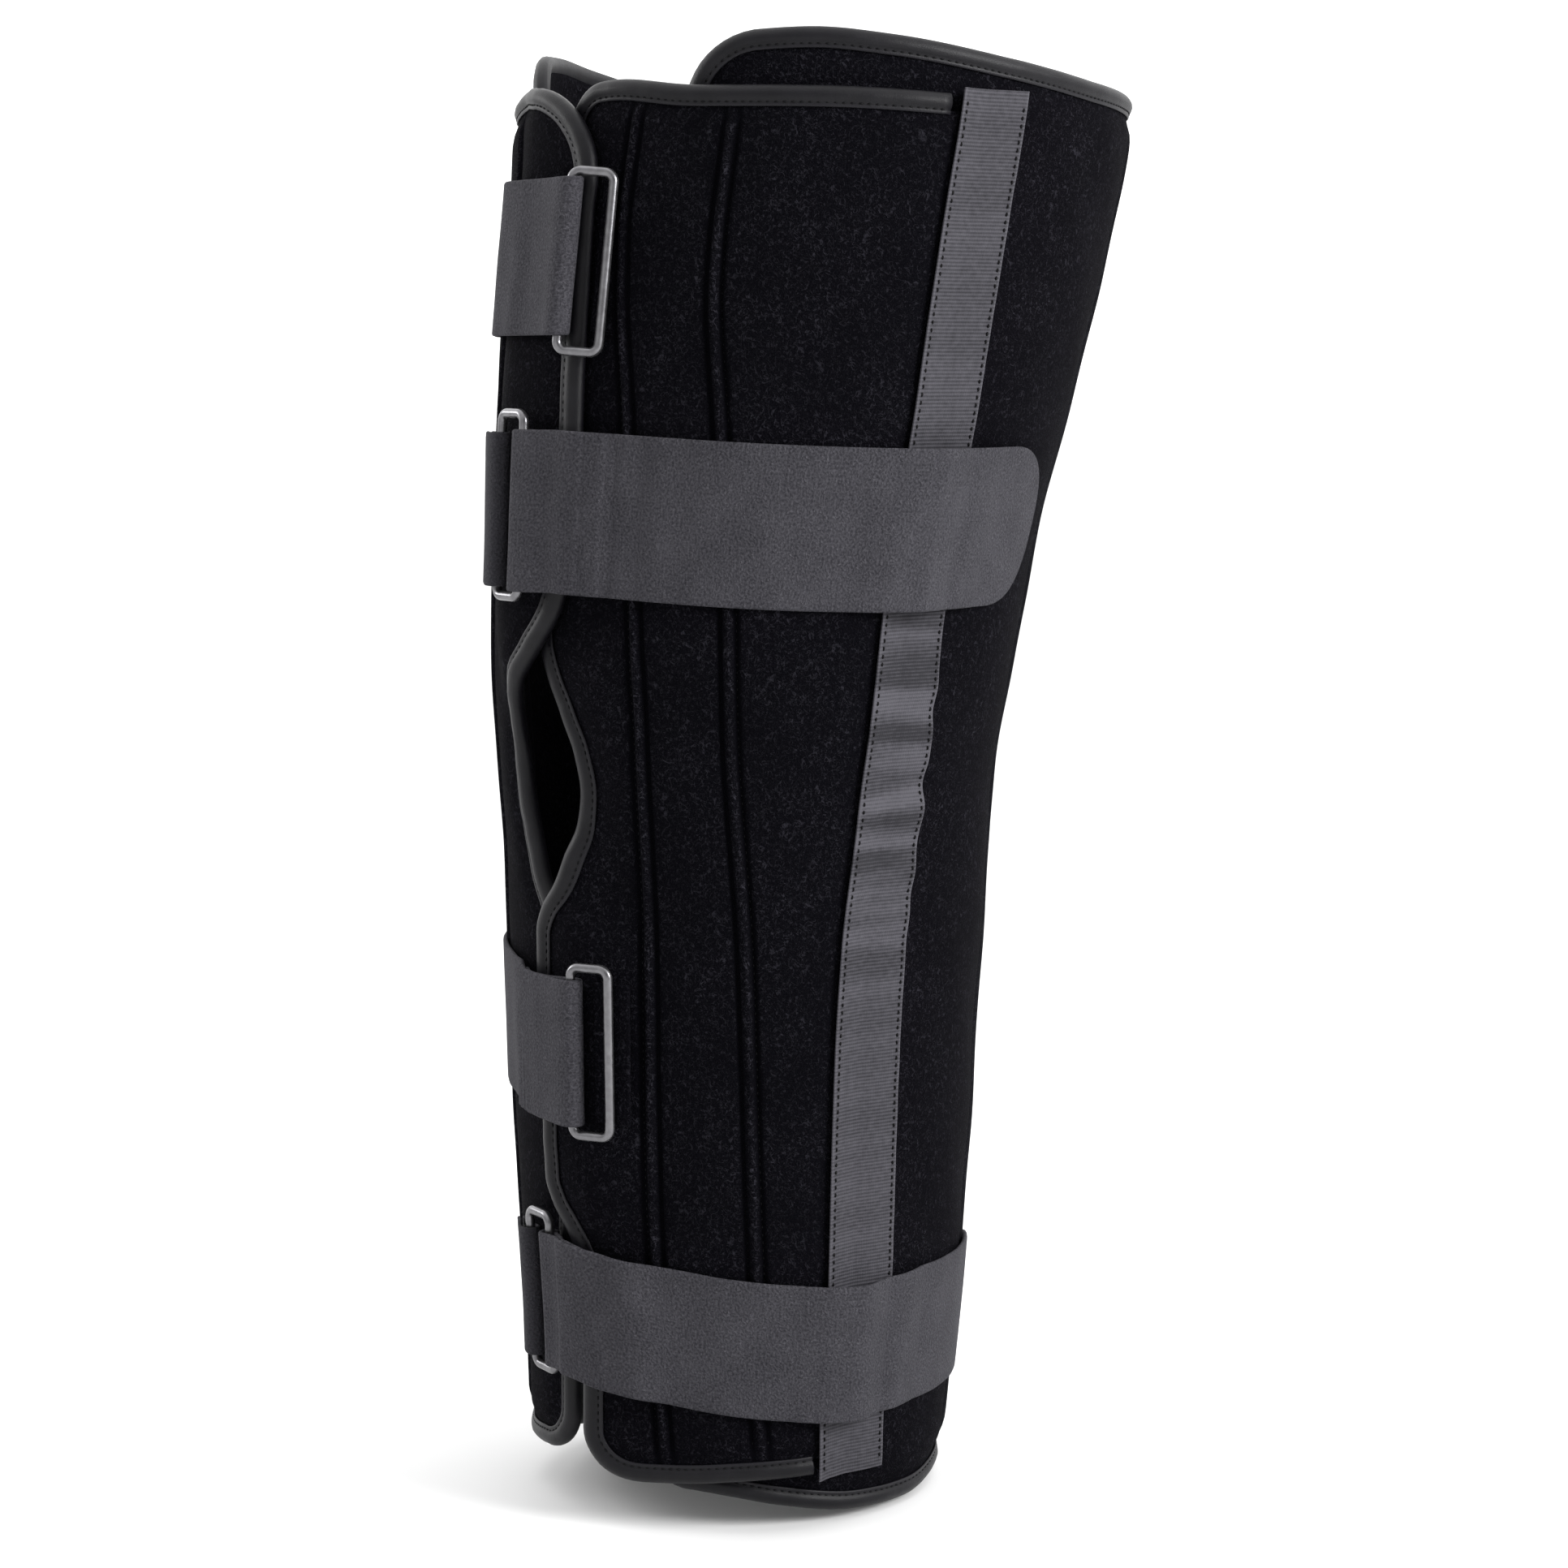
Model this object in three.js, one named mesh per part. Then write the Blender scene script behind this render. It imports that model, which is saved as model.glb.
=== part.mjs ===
// A knee immobilizer in the shape it has when worn: a back panel, two side panels that meet over the front
// of the knee and leave an opening for the kneecap, four straps with four wire rings, and two hook tapes.
//
// Millimetres. Z runs up the leg, -Y is the front of the knee and +X is the side with the visible hook tape.
// The origin is the middle of the knee. A place on the leg is given by its turn, in degrees from the front
// line towards +X, its height, and its lift outwards from the leg.
import * as THREE from "three";

// The leg that the panels are shaped to
const KNEE_WIDTH = 138;
const KNEE_DEPTH = 144.5;

// The panels, of foam between two cloths
const PANEL_HEIGHT = 430;
const SIDE_THICKNESS = 5;
const BACK_THICKNESS = 5;
const SIDE_CORNERS = { near: { top: 14, bottom: 16 }, far: { top: 30, bottom: 17 } };
const BACK_CORNERS = { top: 24, bottom: 15 };
const BACK_FRONT = 26; // the turn of the back panel's two front edges, under the side panels
const LAYER_GAP = 0.8; // air between two layers of cloth that lie on each other
const OVERLAP_REST = 6; // how far a front margin stays lifted beyond the edge that it lies on
const OVERLAP_END = 26; // and where it is down again

// The stay channels' seams
const RIB_WIDTH = 4.5;
const RIB_HEIGHT = 0.6;

// The edge binding, a cloth strip folded round the panel's edge
const BINDING_WIDTH = 6.5;
const BINDING_CLOTH = 1;
const BINDING_ROUND = 1.8; // how far in from its fold the binding has its full thickness
const BINDING_FLOOR = 2.6; // the depth at which the fold of the binding ends
const BINDING_PLAY = 0.4;
const EDGE_THICKNESS = 0.6; // the panel's edge where the binding squeezes it

// The hook tapes that hold the side panels on the back panel
const TAPE_WIDTH = 25;
const TAPE_THICKNESS = 1.8;
const TAPE_LAP = 3.5; // how much of the tape lies on the side panel
const TAPE_SPRING = 0.3; // its free edge stands off the back panel by this much more
const TAPE_OVERHANG = 2; // how far it goes past the side panel's top and bottom edges
const TAPE_BEND = 1; // the flat length past the side panel's edge, before it comes down
const REAR_LAP = 3.5; // how far the side panel goes on under it
const REAR_EDGE = 1.5; // the side panel's thickness at its rear edge, under the tape
const REAR_CELL = 8.5; // the side panel's last cell, which the binding's end lies in

// The straps, rings and tabs
const STRAP_THICKNESS = 1.6;
const STRAP_GAP = 0.9; // air under a strap, which the ribs stand up into
const STRAP_RETURN = 30; // the end that is folded round the ring's bar and sewn under the strap
const FOLD_SLOPE = 14; // the length over which the strap comes down from the bar
const FOLD_PLAY = 0.6;
const FOLD_STEPS = 6;
const RETURN_RAMP = 12; // the length over which the strap comes down past its sewn end
const COVER_TURN = 4; // cloth this near to a strap's place holds it up, in degrees
const SMOOTH_TURN = 4; // and the steps under it are smoothed over this turn
const STRAP_END = 25; // how long the round end is
const STRAP_STEP = 12; // the length of its straight pieces
const RETURN_SHARES = [1, 0.66, 0.33]; // stations of the folded end, as shares of its length
const SLOPE_STATIONS = [5, 10, 16]; // stations on the way down from the bar
const STITCH_STATIONS = [-2, 3]; // and on both sides of the folded end's last stitches
const ROUND_ANGLES = [25, 45, 62, 77]; // stations of the round end, by their place on its curve
const ROUND_POWER = 0.8; // under 1 makes the round end fuller than a half ellipse
const TAB_THICKNESS = 1.2;
const TAB_LENGTH = 14;
const TAB_MARGIN = 1; // a tab is this much narrower than its strap on each side
const TAB_SHARES = [0.16, 0.32, 0.5, 0.75, 1]; // stations of a folded tab, as shares of its length
const FLAT_TAB_START = 0.45; // how far a flat tab goes in under its ring, as a share of the ring's width
const WIRE = 3;
const RING_WIDTH = 16;
const RING_CORNER = 4.4;
const RING_PLAY = 1.8; // between the strap's edge and the ring's short bar
const RING_ROUNDS = 30; // rounds of the search for the place of a ring's other bar

// The leg's sections: the height as a share of the panel height, above the knee; the girth as a share of the
// knee's; and how far the section lies behind the knee's, as a share of the knee's depth.
const LEG = [
  { rise: -0.57, girth: 0.811, behind: -0.043 },
  { rise: -0.465, girth: 0.852, behind: -0.023 },
  { rise: -0.372, girth: 0.888, behind: -0.012 },
  { rise: -0.279, girth: 0.921, behind: -0.011 },
  { rise: -0.186, girth: 0.945, behind: -0.006 },
  { rise: -0.093, girth: 0.969, behind: 0 },
  { rise: 0, girth: 1, behind: 0.003 },
  { rise: 0.093, girth: 1.062, behind: 0.023 },
  { rise: 0.186, girth: 1.11, behind: 0.058 },
  { rise: 0.279, girth: 1.176, behind: 0.105 },
  { rise: 0.372, girth: 1.23, behind: 0.16 },
  { rise: 0.465, girth: 1.265, behind: 0.206 },
  { rise: 0.56, girth: 1.285, behind: 0.23 },
];

// The side panels' front edges, from the bottom up: the height as a share of the panel height, and the turn
// of each panel's edge. The rows from -0.08 to 0.11 are the opening for the kneecap.
const FRONT = [
  { rise: -0.43, near: 12.2, far: 4.8 },
  { rise: -0.34, near: 11.4, far: 5.8 },
  { rise: -0.321, near: 8.6, far: 6.6 },
  { rise: -0.303, near: 4.3, far: 7.4 },
  { rise: -0.284, near: 2, far: 8 },
  { rise: -0.19, near: 1.4, far: 9 },
  { rise: -0.125, near: 1, far: 8.4 },
  { rise: -0.102, near: 1.2, far: 6 },
  { rise: -0.083, near: 3.6, far: 3 },
  { rise: -0.066, near: 7.6, far: -0.4 },
  { rise: -0.046, near: 10, far: -2.6 },
  { rise: -0.022, near: 12.4, far: -5 },
  { rise: 0.003, near: 13.2, far: -6.8 },
  { rise: 0.028, near: 11.6, far: -7.4 },
  { rise: 0.052, near: 8.4, far: -6.2 },
  { rise: 0.076, near: 4.6, far: -2 },
  { rise: 0.102, near: 1.6, far: 5 },
  { rise: 0.13, near: 0.4, far: 11 },
  { rise: 0.165, near: 0, far: 13.6 },
  { rise: 0.24, near: 0, far: 14.6 },
  { rise: 0.32, near: 0.6, far: 13.6 },
  { rise: 0.41, near: 2.2, far: 12.6 },
];

// Lines that run up the near side, mirrored on the far side: the turn of the two seams and of the tape's
// front edge
const UPRIGHTS = [
  { rise: -0.5, seamOne: 35, seamTwo: 60.4, tape: 74.3 },
  { rise: -0.45, seamOne: 33, seamTwo: 57.7, tape: 73.4 },
  { rise: -0.34, seamOne: 32, seamTwo: 56.4, tape: 73.8 },
  { rise: -0.2, seamOne: 31.5, seamTwo: 54.5, tape: 73.8 },
  { rise: -0.11, seamOne: 31.2, seamTwo: 53.1, tape: 74.5 },
  { rise: -0.02, seamOne: 30.5, seamTwo: 51, tape: 77.2 },
  { rise: 0.05, seamOne: 29.6, seamTwo: 49.2, tape: 78.5 },
  { rise: 0.13, seamOne: 27.6, seamTwo: 47.3, tape: 78.2 },
  { rise: 0.26, seamOne: 23.4, seamTwo: 42.1, tape: 77.7 },
  { rise: 0.36, seamOne: 19, seamTwo: 37.5, tape: 76.3 },
  { rise: 0.42, seamOne: 17.8, seamTwo: 36.9, tape: 76 },
  { rise: 0.5, seamOne: 20, seamTwo: 37.8, tape: 76.8 },
];

// The top and bottom edges of the side panels, by turn from the front line
const SIDE_ENDS = [
  { turn: 0, top: 0.495, bottom: -0.494 },
  { turn: 14, top: 0.5, bottom: -0.502 },
  { turn: 30, top: 0.494, bottom: -0.506 },
  { turn: 55, top: 0.492, bottom: -0.502 },
  { turn: 80, top: 0.487, bottom: -0.499 },
];

// The top and bottom edges of the back panel, by turn from the front line, the same on both sides
const BACK_ENDS = [
  { turn: 30, top: 0.529, bottom: -0.51 },
  { turn: 50, top: 0.533, bottom: -0.517 },
  { turn: 65, top: 0.528, bottom: -0.525 },
  { turn: 90, top: 0.514, bottom: -0.536 },
  { turn: 115, top: 0.503, bottom: -0.539 },
  { turn: 140, top: 0.499, bottom: -0.534 },
  { turn: 180, top: 0.497, bottom: -0.53 },
];

// The straps from the top down: the height at the ring, how much lower the strap is behind, its width, the
// turn of the ring's bar that the strap is folded round, the turn of its round end, and the way it leaves
// the ring, 1 for round the near side and -1 for round the far side. The ring hangs a little above or below
// the strap's middle, in millimetres.
const STRAPS = [
  { rise: 0.378, droop: 0, width: 47, bar: 11, end: -128, way: -1, ring: -1.2 },
  { rise: 0.201, droop: 0.013, width: 49, bar: 4, end: 123, way: 1, ring: 1.4 },
  { rise: -0.184, droop: -0.01, width: 46, bar: 16, end: -150, way: -1, ring: 0.4 },
  { rise: -0.377, droop: 0.031, width: 44, bar: 2.5, end: 164, way: 1, ring: 1.4 },
];
const DROOP_FROM = 8; // the strap keeps its height over this turn from the bar
const DROOP_TURN = 82; // and drops over this one

const ACROSS = { front: 3, rib: 2, middle: 2, rear: 4 }; // grid cells from the front edge to the rear edge
const BACK_CELLS = { across: 24, up: 11 };
const CORNER_STEPS = 2; // grid cells in half a corner's arc
const TAPE_STEPS = 12; // straight pieces in a hook tape
const RING_STEPS = 2; // straight pieces in a ring's corner
const WIRE_SIDES = 6;

const DEGREE = Math.PI / 180;

const clamp = (t) => Math.min(1, Math.max(0, t));
const ease = (t) => clamp(t) ** 2 * (3 - 2 * clamp(t));
const mix = (a, b, t) => a + (b - a) * t;

// A smooth line through one column of a table, without waves between its rows
function line(rows, along, column) {
  const x = rows.map((row) => row[along]);
  const y = rows.map((row) => row[column]);
  const slope = x.slice(1).map((end, i) => (y[i + 1] - y[i]) / (end - x[i]));
  const tangent = x.map((_, i) => {
    const before = slope[Math.max(0, i - 1)];
    const after = slope[Math.min(slope.length - 1, i)];
    return before * after <= 0 ? 0 : (2 * before * after) / (before + after);
  });
  return (at) => {
    let i = 0;
    while (i < slope.length - 1 && at > x[i + 1]) i += 1;
    const width = x[i + 1] - x[i];
    const t = (at - x[i]) / width;
    if (t < 0) return y[0];
    if (t > 1) return y[y.length - 1];
    const rise = y[i + 1] - y[i];
    const start = tangent[i] * width;
    const finish = tangent[i + 1] * width;
    return y[i] + t * (start + t * (3 * rise - 2 * start - finish + t * (start + finish - 2 * rise)));
  };
}

const girth = line(LEG, "rise", "girth");
const behind = line(LEG, "rise", "behind");
const edgeOf = { near: line(FRONT, "rise", "near"), far: line(FRONT, "rise", "far") };
const upright = (column) => line(UPRIGHTS, "rise", column);
const seamOne = upright("seamOne");
const seamTwo = upright("seamTwo");
const tapeFront = upright("tape");

// The point at a turn and a height, lifted off the leg along the section's own normal
function onLeg(turn, height, lift) {
  const rise = height / PANEL_HEIGHT;
  const halfWidth = (KNEE_WIDTH / 2) * girth(rise);
  const halfDepth = (KNEE_DEPTH / 2) * girth(rise);
  const side = Math.sin(turn * DEGREE);
  const front = Math.cos(turn * DEGREE);
  const normal = new THREE.Vector3(side / halfWidth, -front / halfDepth, 0).normalize();
  const centre = KNEE_DEPTH * behind(rise);
  const onSection = new THREE.Vector3(halfWidth * side, centre - halfDepth * front, height);
  return onSection.addScaledVector(normal, lift);
}

// Millimetres round the leg for one degree, at a height and a lift
function perDegree(height, lift = 0) {
  const halfKnee = (KNEE_WIDTH + KNEE_DEPTH) / 4;
  return (halfKnee * girth(height / PANEL_HEIGHT) + lift) * DEGREE;
}

// A pattern point is a place on the cloth laid flat: x round the leg from the front line, and the height
const patternPoint = (turn, height) => new THREE.Vector2(turn * perDegree(height), height);
const turnOf = (point) => point.x / perDegree(point.y);

// A side panel lies on the back panel's level all the way, and a step higher where its front margin lies on
// the other one's. Beyond is how far a place is past the other one's edge, in degrees.
const ON_BACK = BACK_THICKNESS + LAYER_GAP;

function sideLift(beyond, height) {
  const away = beyond * perDegree(height);
  return ON_BACK + (SIDE_THICKNESS + LAYER_GAP) * ease((OVERLAP_END - away) / (OVERLAP_END - OVERLAP_REST));
}

// The near panel lies over the far one below the knee, and under it above the knee
const pastFar = (turn, height) => turn - edgeOf.far(height / PANEL_HEIGHT);
const pastNear = (turn, height) => edgeOf.near(height / PANEL_HEIGHT) - turn;
const SIDES = {
  near: { way: 1, lift: (turn, height) => (height > 0 ? ON_BACK : sideLift(pastFar(turn, height), height)) },
  far: { way: -1, lift: (turn, height) => (height < 0 ? ON_BACK : sideLift(pastNear(turn, height), height)) },
};

// How high the outermost cloth stands at a place, under the straps
function clothTop(turn, height) {
  const rise = height / PANEL_HEIGHT;
  const size = Math.abs(turn);
  const rear = tapeFront(rise) + (TAPE_LAP + BINDING_WIDTH) / perDegree(height);
  const tapeEnd = tapeFront(rise) + TAPE_WIDTH / perDegree(height);
  const onSide = (side) => SIDES[side].lift(turn, height) + SIDE_THICKNESS;
  let top = size > BACK_FRONT ? BACK_THICKNESS : 0;
  if (turn > edgeOf.near(rise) && turn < rear) top = Math.max(top, onSide("near"));
  if (turn < edgeOf.far(rise) && turn > -rear) top = Math.max(top, onSide("far"));
  if (size > tapeFront(rise) && size < rear) top += TAPE_THICKNESS + LAYER_GAP;
  if (size >= rear && size < tapeEnd) top = BACK_THICKNESS + TAPE_THICKNESS + LAYER_GAP;
  return top;
}

// Faces collected into one closed surface, turned so that it faces outwards
class Solid {
  constructor() {
    this.points = [];
    this.faces = [];
  }

  add(point) {
    this.points.push(point);
    return this.points.length - 1;
  }

  quad(a, b, c, d) {
    this.faces.push([a, b, c], [a, c, d]);
  }

  // Joins two rows of corner numbers; a closed row comes back to its start
  strip(lower, upper, closed) {
    const last = closed ? lower.length : lower.length - 1;
    for (let i = 0; i < last; i += 1) {
      const next = (i + 1) % lower.length;
      this.quad(lower[i], lower[next], upper[next], upper[i]);
    }
  }

  geometry() {
    const volume = this.faces.reduce((sum, [a, b, c]) => {
      const [p, q, r] = [this.points[a], this.points[b], this.points[c]];
      return sum + p.dot(q.clone().cross(r));
    }, 0);
    const index = this.faces.flatMap(([a, b, c]) => (volume > 0 ? [a, b, c] : [a, c, b]));
    const made = new THREE.BufferGeometry().setFromPoints(this.points).setIndex(index);
    made.computeVertexNormals();
    return made;
  }
}

// A body swept through equal sections, each a closed loop; flat is the section's own outline, for the caps
function sweep(sections, flat, closed) {
  const solid = new Solid();
  const rows = sections.map((section) => section.map((point) => solid.add(point)));
  rows.slice(1).forEach((row, i) => solid.strip(rows[i], row, true));
  if (closed) {
    solid.strip(rows[rows.length - 1], rows[0], true);
    return solid.geometry();
  }
  const caps = THREE.ShapeUtils.triangulateShape(flat, []);
  const turned = THREE.ShapeUtils.area(flat) < 0;
  for (const [a, b, c] of caps) {
    const first = rows[0];
    const last = rows[rows.length - 1];
    solid.faces.push(turned ? [first[a], first[b], first[c]] : [first[a], first[c], first[b]]);
    solid.faces.push(turned ? [last[a], last[c], last[b]] : [last[a], last[b], last[c]]);
  }
  return solid.geometry();
}

// The outline moved inwards by a distance, corner for corner; its inside is on the left
function inset(outline, distance) {
  return outline.map((point, i) => {
    const before = outline[(i + outline.length - 1) % outline.length];
    const after = outline[(i + 1) % outline.length];
    const into = point.clone().sub(before).normalize();
    const out = after.clone().sub(point).normalize();
    const normal = new THREE.Vector2(-into.y - out.y, into.x + out.x).normalize();
    const stretch = 1 / Math.max(0.5, normal.dot(new THREE.Vector2(-into.y, into.x)));
    return point.clone().addScaledVector(normal, distance * stretch);
  });
}

// A quarter round between two straight edges, as pattern points from one edge to the other
function cornerArc(corner, radius, from, to) {
  const centre = corner.clone().addScaledVector(from, -radius).addScaledVector(to, -radius);
  const steps = 2 * CORNER_STEPS;
  return Array.from({ length: steps + 1 }, (_, i) => {
    const angle = (i / steps) * 90 * DEGREE;
    const across = radius * Math.cos(angle);
    return centre.clone().addScaledVector(from, across).addScaledVector(to, radius * Math.sin(angle));
  });
}

// A panel is a grid of cells. Its outline runs along the bottom from the front corner, up the rear edge,
// back along the top and down the front edge, and its inner lines follow the named columns.
class Panel {
  constructor({ outline, across, up, column, place, thickness, rib, bound }) {
    Object.assign(this, { outline, across, up, column, place, thickness, rib, bound });
  }

  // The outline's corner number at a cell corner on the grid's edge
  rim(i, k) {
    if (k === 0) return i;
    if (i === this.across) return this.across + k;
    if (k === this.up) return this.across + this.up + (this.across - i);
    return 2 * this.across + 2 * this.up - k;
  }

  onRim(i, k) {
    return i === 0 || k === 0 || i === this.across || k === this.up;
  }

  // The pattern points of all cell corners, inside the binding
  grid() {
    const rim = inset(this.outline, BINDING_WIDTH + BINDING_PLAY);
    const at = (i, k) => rim[this.rim(i, k)];
    const share = (k) => (at(0, k).y - at(0, 0).y) / (at(0, this.up).y - at(0, 0).y);
    const off = (i, k) => at(i, k).x - this.column(i, at(0, k), at(this.across, k), at(i, k).y);
    return (i, k) => {
      if (this.onRim(i, k)) return at(i, k);
      const t = share(k);
      const y = mix(at(i, 0).y, at(i, this.up).y, t);
      const x = this.column(i, at(0, k), at(this.across, k), y) + mix(off(i, 0), off(i, this.up), t);
      return new THREE.Vector2(x, y);
    };
  }

  geometry() {
    const solid = new Solid();
    const point = this.grid();
    const faces = [this.thickness, 0].map((level) =>
      Array.from({ length: this.up + 1 }, (_, k) =>
        Array.from({ length: this.across + 1 }, (_, i) => {
          const raised = level > 0 && !this.onRim(i, k) ? this.rib(i) : 0;
          return solid.add(this.place(point(i, k), level + raised));
        }),
      ),
    );
    const [outer, inner] = faces;
    outer.slice(1).forEach((row, k) => solid.strip(outer[k], row, false));
    inner.slice(1).forEach((row, k) => solid.strip(row, inner[k], false));

    const around = [];
    for (let i = 0; i < this.across; i += 1) around.push([i, 0]);
    for (let k = 0; k < this.up; k += 1) around.push([this.across, k]);
    for (let i = this.across; i > 0; i -= 1) around.push([i, this.up]);
    for (let k = this.up; k > 0; k -= 1) around.push([0, k]);
    const wide = inset(this.outline, BINDING_WIDTH + BINDING_PLAY);
    const narrow = inset(this.outline, BINDING_FLOOR + BINDING_PLAY);
    const ring = (points, level) =>
      around.map(([i, k]) => {
        const n = this.rim(i, k);
        return solid.add(this.place(points[n], level(this.bound(i, k))));
      });
    const squeeze = (held) => (held ? BINDING_CLOTH + BINDING_PLAY : BINDING_PLAY);
    const middle = this.thickness / 2;
    const rows = [
      around.map(([i, k]) => outer[k][i]),
      ring(wide, (held) => this.thickness - squeeze(held)),
      ring(narrow, (held) => (held ? middle + EDGE_THICKNESS / 2 : REAR_EDGE)),
      ring(narrow, (held) => (held ? middle - EDGE_THICKNESS / 2 : BINDING_PLAY / 2)),
      ring(wide, squeeze),
      around.map(([i, k]) => inner[k][i]),
    ];
    rows.slice(1).forEach((row, i) => solid.strip(row, rows[i], true));
    return solid.geometry();
  }

  // The binding along the outline's corners from one number to another, or all the way round
  binding(first, last) {
    const whole = first === undefined;
    const top = this.thickness;
    const half = top / 2;
    const floor = EDGE_THICKNESS / 2 + BINDING_PLAY;
    const section = [
      { in: BINDING_WIDTH, up: top },
      { in: BINDING_ROUND, up: top },
      { in: 0, up: half },
      { in: BINDING_ROUND, up: 0 },
      { in: BINDING_WIDTH, up: 0 },
      { in: BINDING_WIDTH, up: BINDING_CLOTH },
      { in: BINDING_FLOOR, up: half - floor },
      { in: BINDING_FLOOR, up: half + floor },
      { in: BINDING_WIDTH, up: top - BINDING_CLOTH },
    ];
    const rims = section.map((corner) => inset(this.outline, corner.in));
    const count = this.outline.length;
    const numbers = whole
      ? this.outline.map((_, i) => i)
      : Array.from({ length: ((last - first + count) % count) + 1 }, (_, i) => (first + i) % count);
    const sections = numbers.map((n) => section.map((corner, i) => this.place(rims[i][n], corner.up)));
    const flat = section.map((corner) => new THREE.Vector2(corner.in, corner.up));
    return sweep(sections, flat, whole);
  }
}

// A side panel, in its own measure of turn, which grows from the front line towards the panel's own rear
function sidePanel(name) {
  const { way, lift } = SIDES[name];
  const front = (rise) => way * edgeOf[name](rise);
  const rear = (height) => tapeFront(height / PANEL_HEIGHT) + (TAPE_LAP + REAR_LAP) / perDegree(height);
  const top = line(SIDE_ENDS, "turn", "top");
  const bottom = line(SIDE_ENDS, "turn", "bottom");
  const seam = (table, height) => table(height / PANEL_HEIGHT) * perDegree(height);
  const { front: inFront, rib, middle, rear: inRear } = ACROSS;
  const lines = [0, inFront, inFront + rib, inFront + rib + middle, inFront + 2 * rib + middle];
  const across = lines[4] + inRear;

  // The columns: even between the front edge, the sides of the two ribs and the rear edge
  const column = (i, low, high, height) => {
    const one = seam(seamOne, height);
    const two = seam(seamTwo, height);
    const half = RIB_WIDTH / 2;
    const stops = [low.x, one - half, one + half, two - half, two + half, high.x - REAR_CELL, high.x];
    const counts = [...lines, across - 1, across];
    let n = 0;
    while (n < stops.length - 2 && i > counts[n + 1]) n += 1;
    return mix(stops[n], stops[n + 1], (i - counts[n]) / (counts[n + 1] - counts[n]));
  };

  const up = new THREE.Vector2(0, 1);
  const out = new THREE.Vector2(-1, 0);
  const rows = FRONT.map(({ rise }) => patternPoint(front(rise), rise * PANEL_HEIGHT));
  const highRow = FRONT[FRONT.length - 1].rise;
  const lowRow = FRONT[0].rise;
  const highCorner = patternPoint(front(highRow), top(front(highRow)) * PANEL_HEIGHT);
  const lowCorner = patternPoint(front(lowRow), bottom(front(lowRow)) * PANEL_HEIGHT);
  const corners = SIDE_CORNERS[name];
  const highArc = cornerArc(highCorner, corners.top, out, up);
  const lowArc = cornerArc(lowCorner, corners.bottom, up.clone().negate(), out);

  // The top or bottom edge: half the corner's arc, and then the columns from where the arc ends. The columns
  // are found at the edge's height, for which the place at knee height is near enough.
  const edge = (arc, table) => {
    const start = arc[2 * CORNER_STEPS];
    const points = arc.slice(CORNER_STEPS, 2 * CORNER_STEPS);
    for (let i = CORNER_STEPS; i <= across; i += 1) {
      const height = table(mix(seamOne(0), tapeFront(0), i / across)) * PANEL_HEIGHT;
      const share = (i - CORNER_STEPS) / (lines[1] - CORNER_STEPS);
      const before = { x: start.x };
      const x = share < 1 ? mix(start.x, column(lines[1], before, before, height), share)
        : column(i, before, { x: rear(height) * perDegree(height) }, height);
      points.push(patternPoint(x / perDegree(height), table(x / perDegree(height)) * PANEL_HEIGHT));
    }
    return points;
  };
  const lowEdge = edge([...lowArc].reverse(), bottom);
  const highEdge = edge(highArc, top);
  const frontEdge = [...lowArc.slice(CORNER_STEPS), ...rows, ...highArc.slice(0, CORNER_STEPS + 1)];
  const total = frontEdge.length - 1;
  const foot = lowEdge[across];
  const head = highEdge[across];
  const rearEdge = frontEdge.map((point) => {
    const share = (point.y - frontEdge[0].y) / (frontEdge[total].y - frontEdge[0].y);
    const height = mix(foot.y, head.y, share);
    return patternPoint(rear(height), height);
  });
  const outline = [
    ...lowEdge.slice(0, across),
    ...rearEdge.slice(0, total),
    ...[...highEdge].reverse().slice(0, across),
    ...[...frontEdge].reverse().slice(0, total),
  ];
  const ribs = [lines[1] + 1, lines[3] + 1];
  const panel = new Panel({
    outline,
    across,
    up: total,
    column,
    thickness: SIDE_THICKNESS,
    place: (point, level) => {
      const turn = way * turnOf(point);
      return onLeg(turn, point.y, lift(turn, point.y) + level);
    },
    rib: (i) => (ribs.includes(i) ? RIB_HEIGHT : 0),
    bound: (i) => i < across,
  });
  // The binding starts on the top edge one cell before the rear edge and ends likewise on the bottom edge
  return { panel: panel.geometry(), binding: panel.binding(panel.rim(across - 1, total), across - 1) };
}

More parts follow.
